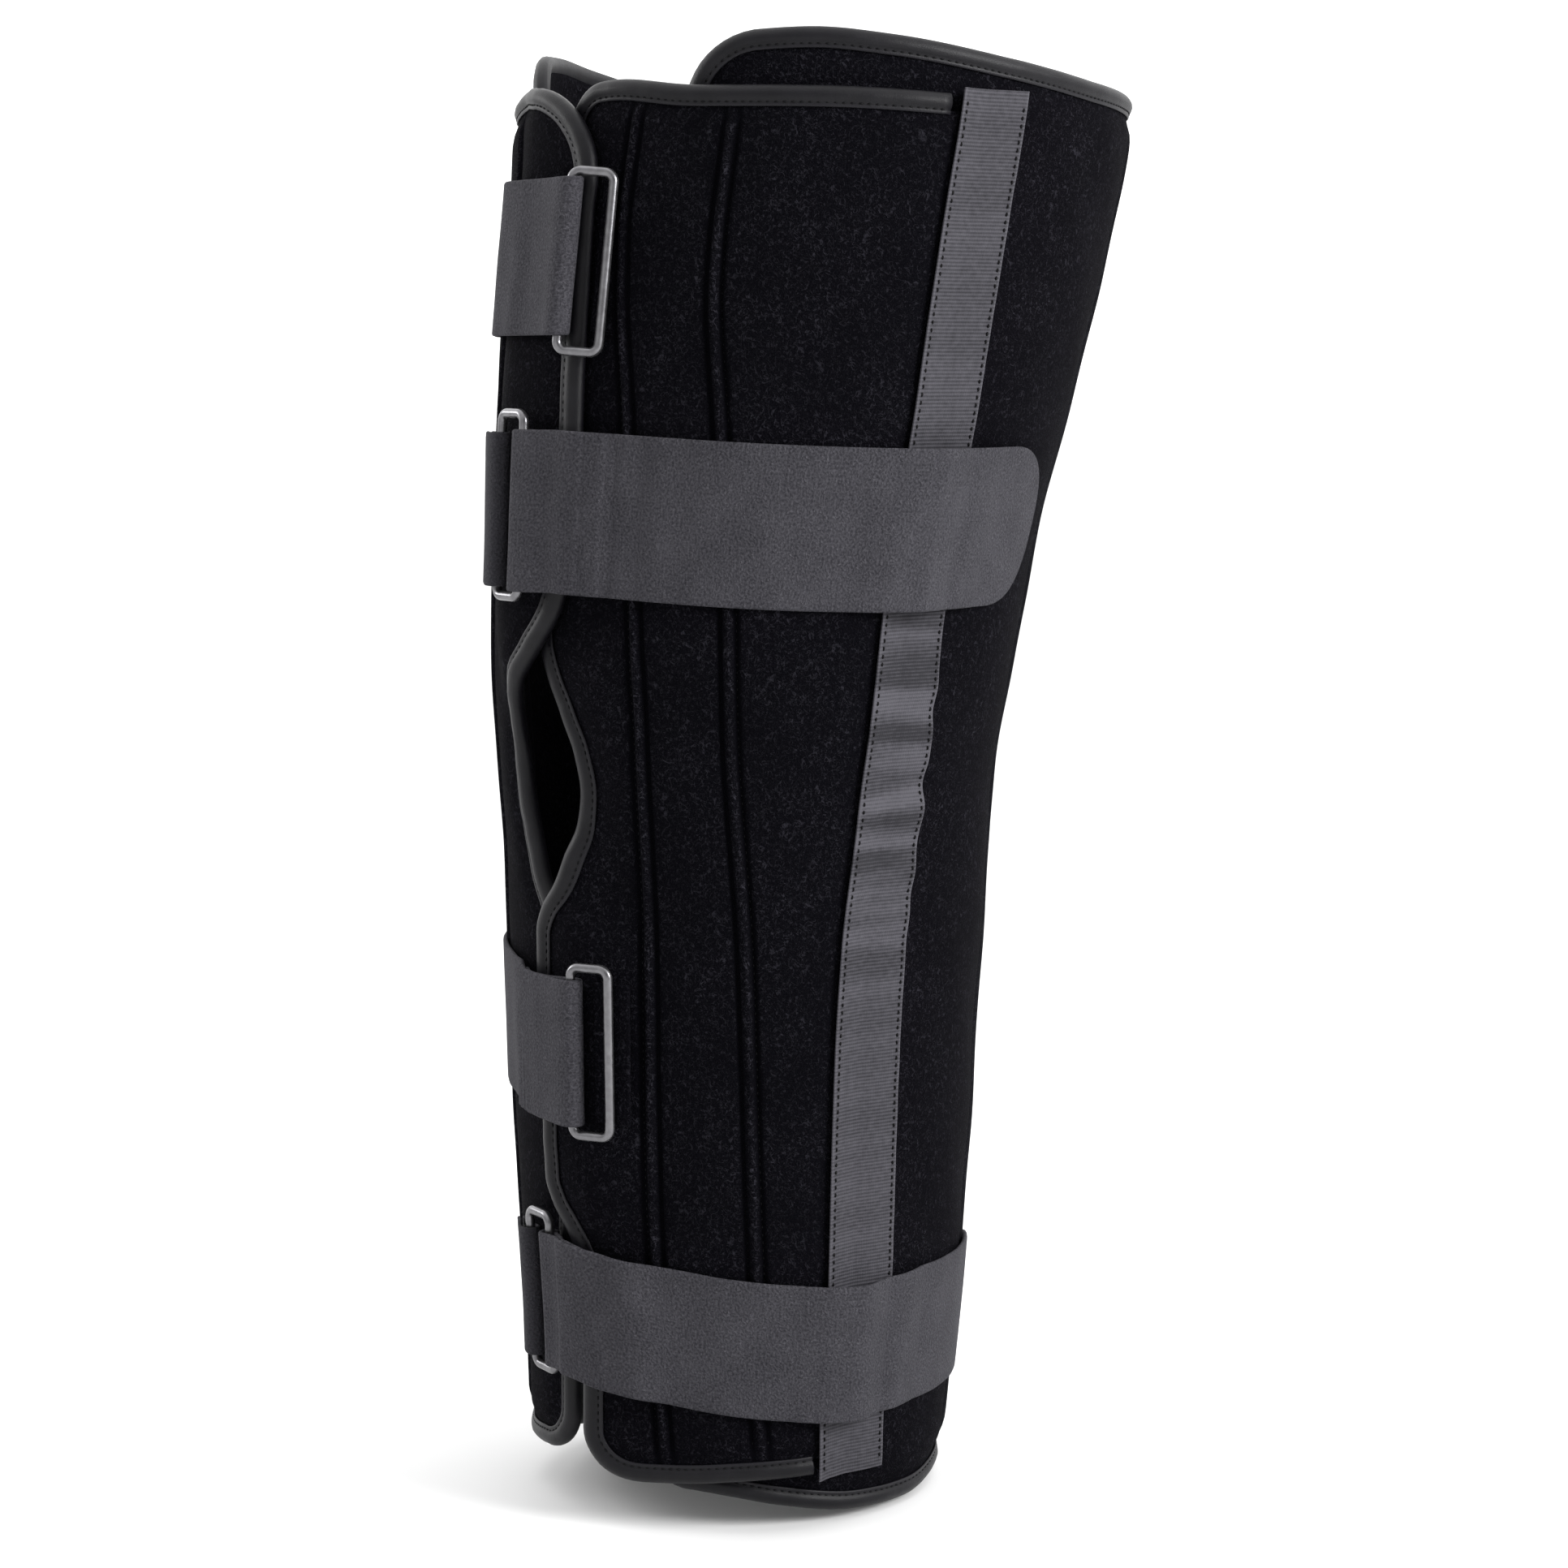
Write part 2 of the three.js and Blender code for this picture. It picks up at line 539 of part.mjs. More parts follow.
// The back panel, from its front edge on the near side round behind to the one on the far side
function backPanel() {
  const { across, up } = BACK_CELLS;
  const top = line(BACK_ENDS, "turn", "top");
  const bottom = line(BACK_ENDS, "turn", "bottom");
  const folded = (turn) => (turn > 180 ? 360 - turn : turn);
  const height = (table, turn) => table(folded(turn)) * PANEL_HEIGHT;
  const upwards = new THREE.Vector2(0, 1);
  const outwards = new THREE.Vector2(-1, 0);
  const highCorner = patternPoint(BACK_FRONT, height(top, BACK_FRONT));
  const lowCorner = patternPoint(BACK_FRONT, height(bottom, BACK_FRONT));
  const highArc = cornerArc(highCorner, BACK_CORNERS.top, outwards, upwards);
  const lowArc = cornerArc(lowCorner, BACK_CORNERS.bottom, upwards.clone().negate(), outwards);
  const half = across / 2;
  const mirror = (point) => new THREE.Vector2(360 * perDegree(point.y) - point.x, point.y);

  // Half of an edge, from the middle of the corner's arc to the middle of the back
  const halfEdge = (arc, table) => {
    const start = arc[arc.length - 1];
    const startTurn = start.x / perDegree(start.y);
    const rest = Array.from({ length: half - CORNER_STEPS + 1 }, (_, i) => {
      const turn = mix(startTurn, 180, i / (half - CORNER_STEPS));
      return i === 0 ? start : patternPoint(turn, height(table, turn));
    });
    return [...arc.slice(CORNER_STEPS, -1), ...rest];
  };
  const wholeEdge = (arc, table) => {
    const near = halfEdge(arc, table);
    return [...near, ...[...near].reverse().slice(1).map(mirror)];
  };
  const highEdge = wholeEdge(highArc, top);
  const lowEdge = wholeEdge([...lowArc].reverse(), bottom);
  const rows = up - 2 * CORNER_STEPS;
  const from = lowArc[2 * CORNER_STEPS];
  const to = highArc[0];
  const middle = Array.from({ length: rows - 1 }, (_, i) => {
    const y = mix(from.y, to.y, (i + 1) / rows);
    return patternPoint(BACK_FRONT, y);
  });
  const frontEdge = [...lowArc.slice(CORNER_STEPS), ...middle, ...highArc.slice(0, CORNER_STEPS + 1)];
  const outline = [
    ...lowEdge.slice(0, across),
    ...frontEdge.map(mirror).slice(0, up),
    ...[...highEdge].reverse().slice(0, across),
    ...[...frontEdge].reverse().slice(0, up),
  ];
  const panel = new Panel({
    outline,
    across,
    up,
    column: (i, low, high) => mix(low.x, high.x, i / across),
    thickness: BACK_THICKNESS,
    place: (point, level) => onLeg(turnOf(point), point.y, level),
    rib: () => 0,
    bound: () => true,
  });
  return { panel: panel.geometry(), binding: panel.binding() };
}

// The hook tape: sewn on the side panel's rear margin, and lying on the back panel behind it
function hookTape(way) {
  const rearmost = SIDE_ENDS[SIDE_ENDS.length - 1];
  const high = rearmost.top * PANEL_HEIGHT + TAPE_OVERHANG;
  const low = rearmost.bottom * PANEL_HEIGHT - TAPE_OVERHANG;
  const slope = (SIDE_THICKNESS - REAR_EDGE) / (BINDING_WIDTH - BINDING_FLOOR);
  const onEdge = ON_BACK + REAR_EDGE + LAYER_GAP;
  const down = TAPE_LAP + REAR_LAP + TAPE_BEND;
  const stops = [
    { at: 0, level: onEdge + slope * TAPE_LAP },
    { at: TAPE_LAP, level: onEdge },
    { at: TAPE_LAP + TAPE_BEND, level: onEdge },
    { at: down, level: ON_BACK + TAPE_SPRING },
    { at: TAPE_WIDTH, level: ON_BACK + TAPE_SPRING },
  ];
  const section = [
    ...stops,
    ...[...stops].reverse().map(({ at, level }) => ({ at, level: level + TAPE_THICKNESS })),
  ];
  const sections = Array.from({ length: TAPE_STEPS + 1 }, (_, i) => {
    const height = mix(low, high, i / TAPE_STEPS);
    const start = tapeFront(height / PANEL_HEIGHT);
    const turnAt = ({ at, level }) => way * (start + at / perDegree(height, level));
    return section.map((corner) => onLeg(turnAt(corner), height, corner.level));
  });
  const flat = section.map(({ at, level }) => new THREE.Vector2(at, level));
  return sweep(sections, flat, false);
}

// A flat band that runs round the leg: stations give its place along the way, its lift, its half width and
// the middle of its width; its thickness is laid half on each side of that line
function band(stations, thickness, toTurn) {
  const sections = stations.map((station, i) => {
    const before = stations[Math.max(0, i - 1)];
    const after = stations[Math.min(stations.length - 1, i + 1)];
    const along = new THREE.Vector2(after.at - before.at, after.lift - before.lift).normalize();
    const side = new THREE.Vector2(-along.y, along.x).multiplyScalar(thickness / 2);
    const corner = (sign, across) => {
      const at = station.at + sign * side.x;
      return onLeg(toTurn(at), station.middle + across * station.half, station.lift + sign * side.y);
    };
    return [corner(1, 1), corner(1, -1), corner(-1, -1), corner(-1, 1)];
  });
  const flat = [[1, 1], [1, -1], [-1, -1], [-1, 1]].map(([x, y]) => new THREE.Vector2(x, y));
  return sweep(sections, flat, false);
}

// One fastening: a ring, the strap folded round one of its bars, and the tab behind the ring
class Fastening {
  constructor({ rise, droop, width, bar, end, way, ring: offset }) {
    Object.assign(this, { width, bar, end, way, offset });
    this.height = rise * PANEL_HEIGHT;
    this.droop = droop * PANEL_HEIGHT;
    this.under = this.cover(bar) + STRAP_GAP;
    this.barLift = this.under + STRAP_THICKNESS + FOLD_PLAY + WIRE / 2;
    this.scale = perDegree(this.height, this.barLift);
    this.span = RING_WIDTH - WIRE; // between the middles of the two long bars
    this.otherBar = this.findOtherBar();
    this.otherLift = this.liftOver(this.otherBar);
  }

  // The middle of the strap's width, which drops towards the back
  middle(turn) {
    const share = clamp((Math.abs(turn - this.bar) - DROOP_FROM) / DROOP_TURN);
    return this.height - this.droop * Math.sin(share * 90 * DEGREE);
  }

  // The highest cloth under the strap's whole width at a turn, and a little to each side of it
  cover(turn) {
    let top = 0;
    for (const near of [-COVER_TURN, -COVER_TURN / 2, 0, COVER_TURN / 2, COVER_TURN])
      for (const across of [-1, -0.5, 0, 0.5, 1])
        top = Math.max(top, clothTop(turn + near, this.middle(turn) + (across * this.width) / 2));
    return top;
  }

  // The strap's rest level, with the steps of the cloth under it smoothed
  level(turn) {
    const places = Array.from({ length: 2 * SMOOTH_TURN + 1 }, (_, i) => this.cover(turn + i - SMOOTH_TURN));
    return places.reduce((sum, top) => sum + top, 0) / places.length + STRAP_GAP;
  }

  // A folded end comes from its level under the bar to the cloth's, over the length of the slope
  settle(underBar, turn, at) {
    const rest = this.level(turn);
    return Math.max(rest, mix(underBar, rest, ease(at / FOLD_SLOPE)));
  }

  // The middle of a bar at a turn, straight between the strap's two edges, and its direction
  barAt(turn, lift) {
    const high = onLeg(turn, this.height + this.width / 2, lift);
    const low = onLeg(turn, this.height - this.width / 2, lift);
    return { centre: high.clone().add(low).multiplyScalar(0.5), rise: high.sub(low).normalize() };
  }

  // A bar's lift over the tab that lies under it or is folded round it
  liftOver(turn) {
    return this.cover(turn) + STRAP_GAP + TAB_THICKNESS + FOLD_PLAY + WIRE / 2;
  }

  // The turn at which the ring's other bar comes down, one ring's width from the first
  findOtherBar() {
    const held = this.barAt(this.bar, this.barLift).centre;
    let turn = this.bar;
    for (let i = 0; i < RING_ROUNDS; i += 1) {
      const reach = held.distanceTo(this.barAt(turn, this.liftOver(turn)).centre);
      turn -= (this.way * (this.span - reach)) / (2 * this.scale);
    }
    return turn;
  }

  // From millimetres past the bar, along the strap's way, to a turn
  turnAt(at) {
    return this.bar + (this.way * at) / this.scale;
  }

  // The stations of a cloth folded round a bar, from the layer underneath round to the layer above
  fold(radius, lift, station) {
    return Array.from({ length: FOLD_STEPS + 1 }, (_, i) => {
      const angle = (-90 - (180 * i) / FOLD_STEPS) * DEGREE;
      return station(radius * Math.cos(angle), lift + radius * Math.sin(angle));
    });
  }

  strap() {
    const radius = WIRE / 2 + FOLD_PLAY + STRAP_THICKNESS / 2;
    const top = this.barLift + radius;
    const length = Math.abs(this.end - this.bar) * this.scale;
    const straight = length - STRAP_END;
    const station = (at, lift, narrow = 1) => ({
      at,
      lift,
      half: (this.width / 2) * narrow,
      middle: this.middle(this.turnAt(at)),
    });
    const onCloth = (at) => this.settle(this.under, this.turnAt(at), at) + STRAP_THICKNESS / 2;
    const above = (at) => {
      const doubled = (STRAP_THICKNESS + LAYER_GAP) * ease((STRAP_RETURN + RETURN_RAMP - at) / RETURN_RAMP);
      const rest = onCloth(at) + doubled;
      return Math.max(rest, mix(top, rest, ease(at / FOLD_SLOPE)));
    };
    const returned = RETURN_SHARES.map((share) => share * STRAP_RETURN);
    const stitches = STITCH_STATIONS.map((past) => STRAP_RETURN + past);
    const start = STRAP_RETURN + RETURN_RAMP;
    const steps = Math.round((straight - start) / STRAP_STEP);
    const single = Array.from({ length: steps }, (_, i) => mix(start, straight, (i + 1) / steps));
    const round = ROUND_ANGLES.map((angle) => ({
      at: straight + STRAP_END * Math.sin(angle * DEGREE),
      narrow: Math.cos(angle * DEGREE) ** ROUND_POWER,
    }));
    const stations = [
      ...returned.map((at) => station(at, onCloth(at))),
      ...this.fold(radius, this.barLift, station),
      ...[...SLOPE_STATIONS, ...stitches, start, ...single].map((at) => station(at, above(at))),
      ...round.map(({ at, narrow }) => station(at, above(at), narrow)),
    ];
    return band(stations, STRAP_THICKNESS, (at) => this.turnAt(at));
  }

  ring() {
    const half = WIRE / 2;
    const { centre: held, rise } = this.barAt(this.bar, this.barLift);
    const across = this.barAt(this.otherBar, this.otherLift).centre.sub(held);
    across.addScaledVector(rise, -across.dot(rise)).normalize();
    const facing = across.clone().cross(rise).normalize();
    const reach = this.width / 2 + RING_PLAY + half;
    const bend = RING_CORNER - half;
    const corners = [
      { x: this.span - bend, y: reach - bend, turn: 0 },
      { x: bend, y: reach - bend, turn: 90 },
      { x: bend, y: bend - reach, turn: 180 },
      { x: this.span - bend, y: bend - reach, turn: 270 },
    ];
    const stations = corners.flatMap(({ x, y, turn }) =>
      Array.from({ length: RING_STEPS + 1 }, (_, i) => {
        const angle = (turn + (90 * i) / RING_STEPS) * DEGREE;
        return { x: x + bend * Math.cos(angle), y: y + bend * Math.sin(angle), angle };
      }),
    );
    const sections = stations.map(({ x, y, angle }) => {
      const centre = held.clone().addScaledVector(across, x).addScaledVector(rise, y + this.offset);
      const outwards = across.clone().multiplyScalar(Math.cos(angle)).addScaledVector(rise, Math.sin(angle));
      return Array.from({ length: WIRE_SIDES }, (_, i) => {
        const round = (360 * i * DEGREE) / WIRE_SIDES;
        const point = centre.clone().addScaledVector(outwards, half * Math.cos(round));
        return point.addScaledVector(facing, half * Math.sin(round));
      });
    });
    return sweep(sections, [], true);
  }

  // A tab folded round the other bar and sewn to the far panel behind the ring
  foldedTab() {
    const radius = WIRE / 2 + FOLD_PLAY + TAB_THICKNESS / 2;
    const toTurn = (at) => this.otherBar - (this.way * at) / this.scale;
    const station = (at, lift) => ({ at, lift, half: this.width / 2 - TAB_MARGIN, middle: this.height });
    const underBar = this.otherLift - radius - TAB_THICKNESS / 2;
    const lower = (at) => this.settle(underBar, toTurn(at), at) + TAB_THICKNESS / 2;
    const upper = (at) => {
      const rest = lower(at) + TAB_THICKNESS + LAYER_GAP;
      return mix(this.otherLift + radius, rest, ease(at / FOLD_SLOPE));
    };
    const stations = [
      ...[...TAB_SHARES].reverse().map((share) => station(share * TAB_LENGTH, lower(share * TAB_LENGTH))),
      ...this.fold(radius, this.otherLift, station),
      ...TAB_SHARES.map((share) => station(share * TAB_LENGTH, upper(share * TAB_LENGTH))),
    ];
    return band(stations, TAB_THICKNESS, toTurn);
  }

  // A flat tab that comes out of the first seam and lies under the ring
  flatTab() {
    const start = mix(this.bar, this.otherBar, FLAT_TAB_START);
    const finish = seamOne(this.height / PANEL_HEIGHT) - RIB_WIDTH / this.scale;
    const rest = this.otherLift - WIRE / 2 - FOLD_PLAY - TAB_THICKNESS / 2;
    const stations = [start, mix(start, finish, 0.5), finish].map((turn) => ({
      at: turn * this.scale,
      lift: Math.max(clothTop(turn, this.height) + STRAP_GAP + TAB_THICKNESS / 2, rest),
      half: this.width / 2 - TAB_MARGIN,
      middle: this.height,
    }));
    return band(stations, TAB_THICKNESS, (at) => at / this.scale);
  }

  tab() {
    return this.way > 0 ? this.foldedTab() : this.flatTab();
  }
}

const finish = (color, roughness, metalness = 0) =>
  new THREE.MeshStandardMaterial({ color, roughness, metalness });
const LOOP_CLOTH = finish(0x17171b, 0.95);
const BINDING = finish(0x28272b, 0.7);
const TAPE = finish(0x55555a, 0.8);
const WEBBING = finish(0x4a494f, 0.85);
const METAL = finish(0x6c6c70, 0.35, 0.8);
const TAB_CLOTH = finish(0x202024, 0.9);

const immobilizer = new THREE.Group();

function addPiece(name, geometry, material) {
  const mesh = new THREE.Mesh(geometry, material);
  mesh.name = name;
  immobilizer.add(mesh);
}

const back = backPanel();
addPiece("back_panel", back.panel, LOOP_CLOTH);
addPiece("back_binding", back.binding, BINDING);
for (const name of ["near", "far"]) {
  const side = sidePanel(name);
  addPiece(`${name}_side_panel`, side.panel, LOOP_CLOTH);
  addPiece(`${name}_side_binding`, side.binding, BINDING);
  addPiece(`${name}_hook_tape`, hookTape(SIDES[name].way), TAPE);
}
STRAPS.forEach((row, i) => {
  const fastening = new Fastening(row);
  addPiece(`strap_${i + 1}`, fastening.strap(), WEBBING);
  addPiece(`ring_${i + 1}`, fastening.ring(), METAL);
  addPiece(`ring_tab_${i + 1}`, fastening.tab(), TAB_CLOTH);
});

export default immobilizer;
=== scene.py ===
"""The looks of a worn knee immobilizer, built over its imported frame.

Lengths are in millimetres. A place on the leg is a turn in degrees from the front line towards +X, a
height above the middle of the knee, and a lift outwards from the leg. A pattern point is a place on the
cloth laid flat: millimetres round the leg from the front line, and the height.
"""

from __future__ import annotations

import logging
import math
from collections.abc import Callable, Sequence
from dataclasses import dataclass
from enum import Enum

import bmesh
import bpy
import numpy as np
from mathutils import Matrix, Vector

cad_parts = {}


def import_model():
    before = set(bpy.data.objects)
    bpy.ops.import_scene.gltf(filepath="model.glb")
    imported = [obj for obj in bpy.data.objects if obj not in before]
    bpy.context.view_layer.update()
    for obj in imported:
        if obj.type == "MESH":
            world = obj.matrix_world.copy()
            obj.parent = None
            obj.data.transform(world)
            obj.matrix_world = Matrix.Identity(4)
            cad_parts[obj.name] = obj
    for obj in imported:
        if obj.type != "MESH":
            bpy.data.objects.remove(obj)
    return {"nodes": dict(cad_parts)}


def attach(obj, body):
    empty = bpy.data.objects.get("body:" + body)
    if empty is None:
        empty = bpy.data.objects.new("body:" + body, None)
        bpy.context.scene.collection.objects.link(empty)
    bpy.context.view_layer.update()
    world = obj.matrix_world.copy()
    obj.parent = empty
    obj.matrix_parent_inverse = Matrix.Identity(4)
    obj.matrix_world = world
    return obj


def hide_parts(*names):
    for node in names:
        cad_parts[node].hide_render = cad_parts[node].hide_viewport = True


log = logging.getLogger("immobilizer")

MM = 0.001

# The leg and the panels
KNEE_WIDTH = 138.0
KNEE_DEPTH = 144.5
PANEL_HEIGHT = 430.0
THICKNESS = 5.0
LAYER_GAP = 0.8
ON_BACK = THICKNESS + LAYER_GAP
BACK_FRONT = 26.0
OVERLAP_REST = 6.0
OVERLAP_END = 32.0
OVERLAP_CHANGE = 20.0
RIB_ROOM = 4.0
CORNER_STEPS = 6
LINING = 0.3
SOFT_WAVE = 0.38
SOFT_WAVES = (90.0, 26.0)
PUFF = 0.35
PUFF_REACH = 9.0
PRESSED = 1.3
PRESSED_FROM = 1.5
PRESSED_REACH = 7.0
UNDER_LIP = 1.2
THIN_ROOM = 0.4

# Seams and pressed lines: the height or depth of each line and its width
RIDGE = (1.1, 1.0)
GROOVE = (1.4, 0.7)
GROOVE_OFF = 2.1
DIP = (0.2, 8.0)
SEAM_ENDS = (-0.478, 0.472)
SEAM_ROWS = 400
THREAD_SINK = 0.14
THREAD_RISE = 0.1
REAR_SEAMS = (142.0, 161.0, 199.0, 218.0)
REAR_SEAM_ENDS = (-0.48, 0.46)
REAR_RIDGE = (0.8, 1.8)
REAR_GROOVE = (0.5, 1.8)
REAR_GROOVE_OFF = 4.2
MARK_OFF = 1.6
# Painted shade in the seams' grooves: how fast it grows with a groove's depth, and how much is taken off it
SEAM_SHADE_GAIN = 1.2
SEAM_SHADE_FROM = 0.2

# A stitch: stations along it as shares of the pitch, radii there, and how far its middle line stands up
STITCH_AT = (-0.3, -0.22, 0.0, 0.22, 0.3)
STITCH_RADII = (0.05, 0.24, 0.32, 0.24, 0.05)
STITCH_RISE = (-0.35, -0.05, 0.08, -0.05, -0.35)
STITCH_SIDES = 5

# Bindings and hook tapes
BINDING_WIDTH = 6.5
BINDING_FLOOR = 2.6
BINDING_PUCKER = 0.12
BINDING_WAVES = (14.0, 6.0)
SEWN_INSET = 5.1
SEWN_DEPTH = 0.85
TAPE_WIDTH = 25.0
TAPE_THICKNESS = 1.8
TAPE_LOOK = 1.1
TAPE_LAP = 3.5
TAPE_BEND = 1.0
TAPE_SPRING = 0.3
TAPE_OVERHANG = 2.0
TAPE_RIB = 1.1
TAPE_RIB_HEIGHT = 0.1
TAPE_KNEE = 222.0
TAPE_EDGE = (0.0, 0.12, 0.4, 0.8, 1.6)
TAPE_EDGE_REACH = 2.6
TAPE_ROUND = 0.4
TAPE_MARGIN = 0.8
TAPE_EDGE_SHARE = 0.45
TAPE_CELLS = 13
TAPE_ROWS_A_RIB = 4
TAPE_SEAM = 1.7
TAPE_SEAM_END = 1.5
TAPE_SEAM_ROWS = 500
TAPE_PITCH = 2.4
TAPE_THREAD = 1.35
TAPE_WAVE = 1.5
TAPE_WAVES = (24.0, 11.0)
TAPE_WAVE_LIFT = 0.6
TAPE_WAVE_ACROSS = 0.15
TAPE_WAVE_LEAST = -0.2
TAPE_CALM = 0.06
TAPE_CALM_EDGE = 5.0
KNEE_HEIGHT = 5.0
KNEE_FOLDS = (0.9, 34.0)
TAPE_SEED = 17
TAPE_THREADS = 0.55
REAR_LAP = 3.5
REAR_EDGE = 1.5

# Steps of a band's mesh: across it, round its edge, and along a strap and a tab
BAND_CELLS = 18
BAND_ROUND = 4
BACK_STEPS = 20
FOLD_STEPS = 25
FINE_STEPS = 44
FINE_REACH = 14.0
END_STEPS = 25
END_TURN = 88.0
TAB_STEPS = 14
TAB_FOLD_STEPS = 21

# Straps, rings and tabs
STRAP_THICKNESS = 1.6
STRAP_GAP = 0.9
STRAP_RETURN = 30.0
STRAP_END = 25.0
FOLD_SLOPE = 14.0
FOLD_PLAY = 0.6
RETURN_RAMP = 26.0
RETURN_NARROW = 0.94
END_POWER = 0.8
STRAP_ROW = 2.2
STRAP_CALM = 0.12
STRAP_FOLDS = (0.85, 26.0)
STRAP_FOLDS_AT = 62.0
STRAP_WAVES = (24.0, 9.0)
STRAP_WAVES_FROM = 34.0
STRAP_WAVES_RAMP = 10.0
STRAP_SOFT = 0.05
STRAP_SOFT_WAVES = (40.0, 14.0)
LAYER_PLAY = 0.5
FOLD_LENGTH = 8.0
COVER_TURN = 4.0
COVER_POINTS = 5
SMOOTH_TURN = 4
TAB_THICKNESS = 1.2
TAB_LENGTH = 14.0
TAB_MARGIN = 1.0
FLAT_TAB_START = 0.45
FLAT_TAB_STEPS = 16
TAB_SEAM_GAP = 4.5
TAB_WAVE = 0.04
TAB_WAVES = (20.0, 8.0)
WIRE = 3.0
RING_WIDTH = 16.0
RING_CORNER = 4.4
RING_PLAY = 1.8
RING_ROUNDS = 30
DROOP_FROM = 8.0
DROOP_TURN = 82.0

# Scales of the finishes' patterns, from the object's metres to mm and in the cloth's own mm, and how
# much the wire is metal
IN_MM = (1000.0, 1000.0, 1000.0)
ON_CLOTH = (1.0, 1.0, 1.0)
METALLIC = 0.9

# Seeds and the share by which a sum of waves is brought to 1
SIDE_SEED = 3
BINDING_SEED = 5
STRAP_SEED = 20
SOFT_SEED = 9
TAB_SEED = 5
SPREAD = 1.6

# The leg's sections: height and girth as shares, and the share of the knee's depth that each lies behind it
LEG = (
    (-0.57, 0.811, -0.043), (-0.465, 0.852, -0.023), (-0.372, 0.888, -0.012), (-0.279, 0.921, -0.011),
    (-0.186, 0.945, -0.006), (-0.093, 0.969, 0.0), (0.0, 1.0, 0.003), (0.093, 1.062, 0.023),
    (0.186, 1.11, 0.058), (0.279, 1.176, 0.105), (0.372, 1.23, 0.16), (0.465, 1.265, 0.206),
    (0.56, 1.285, 0.23),
)
# The side panels' front edges: the height as a share, and the turn of the near and of the far panel's edge
FRONT = (
    (-0.43, 12.2, 4.8), (-0.34, 11.4, 5.8), (-0.321, 8.6, 6.6), (-0.303, 4.3, 7.4), (-0.284, 2.0, 8.0),
    (-0.19, 1.4, 9.0), (-0.125, 1.0, 8.4), (-0.102, 1.2, 6.0), (-0.083, 3.6, 3.0), (-0.066, 7.6, -0.4),
    (-0.046, 10.0, -2.6), (-0.022, 12.4, -5.0), (0.003, 13.2, -6.8), (0.028, 11.6, -7.0),
    (0.052, 8.4, -5.4), (0.076, 4.6, -1.8), (0.102, 1.6, 5.0), (0.13, 0.4, 11.0), (0.165, 0.0, 13.6),
    (0.24, 0.0, 14.6), (0.32, 0.6, 13.6), (0.41, 2.2, 12.6),
)
# The lines that run up a side: the height as a share, the turns of the two seams and of the tape's front edge
UPRIGHTS = (
    (-0.5, 35.0, 60.4, 74.3), (-0.45, 33.0, 57.7, 73.4), (-0.34, 32.0, 56.4, 73.8), (-0.2, 31.5, 54.5, 73.8),
    (-0.11, 31.2, 53.1, 74.5), (-0.02, 30.5, 51.0, 77.2), (0.05, 29.6, 49.2, 78.5), (0.13, 27.6, 47.3, 78.2),
    (0.26, 23.4, 42.1, 77.7), (0.36, 19.0, 37.5, 76.3), (0.42, 17.8, 36.9, 76.0), (0.5, 20.0, 37.8, 76.8),
)
# Top and bottom edges by turn, of the side panels and of the back panel
SIDE_ENDS = (
    (0.0, 0.495, -0.494), (14.0, 0.5, -0.502), (30.0, 0.494, -0.506), (55.0, 0.492, -0.502),
    (80.0, 0.487, -0.499),
)
BACK_ENDS = (
    (30.0, 0.529, -0.51), (50.0, 0.533, -0.517), (65.0, 0.528, -0.525), (90.0, 0.514, -0.536),
    (115.0, 0.503, -0.539), (140.0, 0.499, -0.534), (180.0, 0.497, -0.53),
)


class Smooth:
    """A smooth line through one column of a table, without waves between its rows."""

    def __init__(self, table: Sequence[Sequence[float]], column: int) -> None:
        self.x = np.array([row[0] for row in table], float)
        self.y = np.array([row[column] for row in table], float)
        slope = np.diff(self.y) / np.diff(self.x)
        before = np.concatenate([slope[:1], slope])
        after = np.concatenate([slope, slope[-1:]])
        total = np.where(before * after > 0, before + after, 1.0)
        self.tangent = np.where(before * after > 0, 2 * before * after / total, 0.0)

    def __call__(self, at: np.ndarray | float) -> np.ndarray:
        """Args: at, places along the table. Returns: the line's values there."""
        at = np.clip(at, self.x[0], self.x[-1])
        i = np.clip(np.searchsorted(self.x, at, side="right") - 1, 0, len(self.x) - 2)
        width = self.x[i + 1] - self.x[i]
        t = (at - self.x[i]) / width
        rise = self.y[i + 1] - self.y[i]
        start = self.tangent[i] * width
        finish = self.tangent[i + 1] * width
        bend = 3 * rise - 2 * start - finish
        return self.y[i] + t * (start + t * (bend + t * (start + finish - 2 * rise)))


girth = Smooth(LEG, 1)
behind = Smooth(LEG, 2)
edge_near = Smooth(FRONT, 1)
edge_far = Smooth(FRONT, 2)
seam_one = Smooth(UPRIGHTS, 1)
seam_two = Smooth(UPRIGHTS, 2)
tape_front = Smooth(UPRIGHTS, 3)


def ease(t: np.ndarray | float) -> np.ndarray:
    """Args: t, a share. Returns: the share eased at both ends, and held between 0 and 1."""
    t = np.clip(t, 0.0, 1.0)
    return t * t * (3 - 2 * t)


def mix(a: np.ndarray | float, b: np.ndarray | float, t: np.ndarray | float) -> np.ndarray:
    """Args: a, b, the two ends; t, the share from a to b. Returns: the value between them."""
    return a + (b - a) * t


def bump(distance: np.ndarray, width: float) -> np.ndarray:
    """Args: distance from a line; width of its bump. Returns: 1 on the line, falling to 0 beside it."""
    return np.exp(-((distance / width) ** 2))


def raised(distance: np.ndarray, relief: tuple[float, float]) -> np.ndarray:
    """Args: distance from a line; relief, its height and its width. Returns: how high it stands there."""
    height, width = relief
    return height * bump(distance, width)


def run_along(points: np.ndarray) -> np.ndarray:
    """Args: points (n, m) of a line. Returns: the length of the line up to each of them."""
    return np.concatenate([[0.0], np.cumsum(np.linalg.norm(np.diff(points, axis=0), axis=1))])


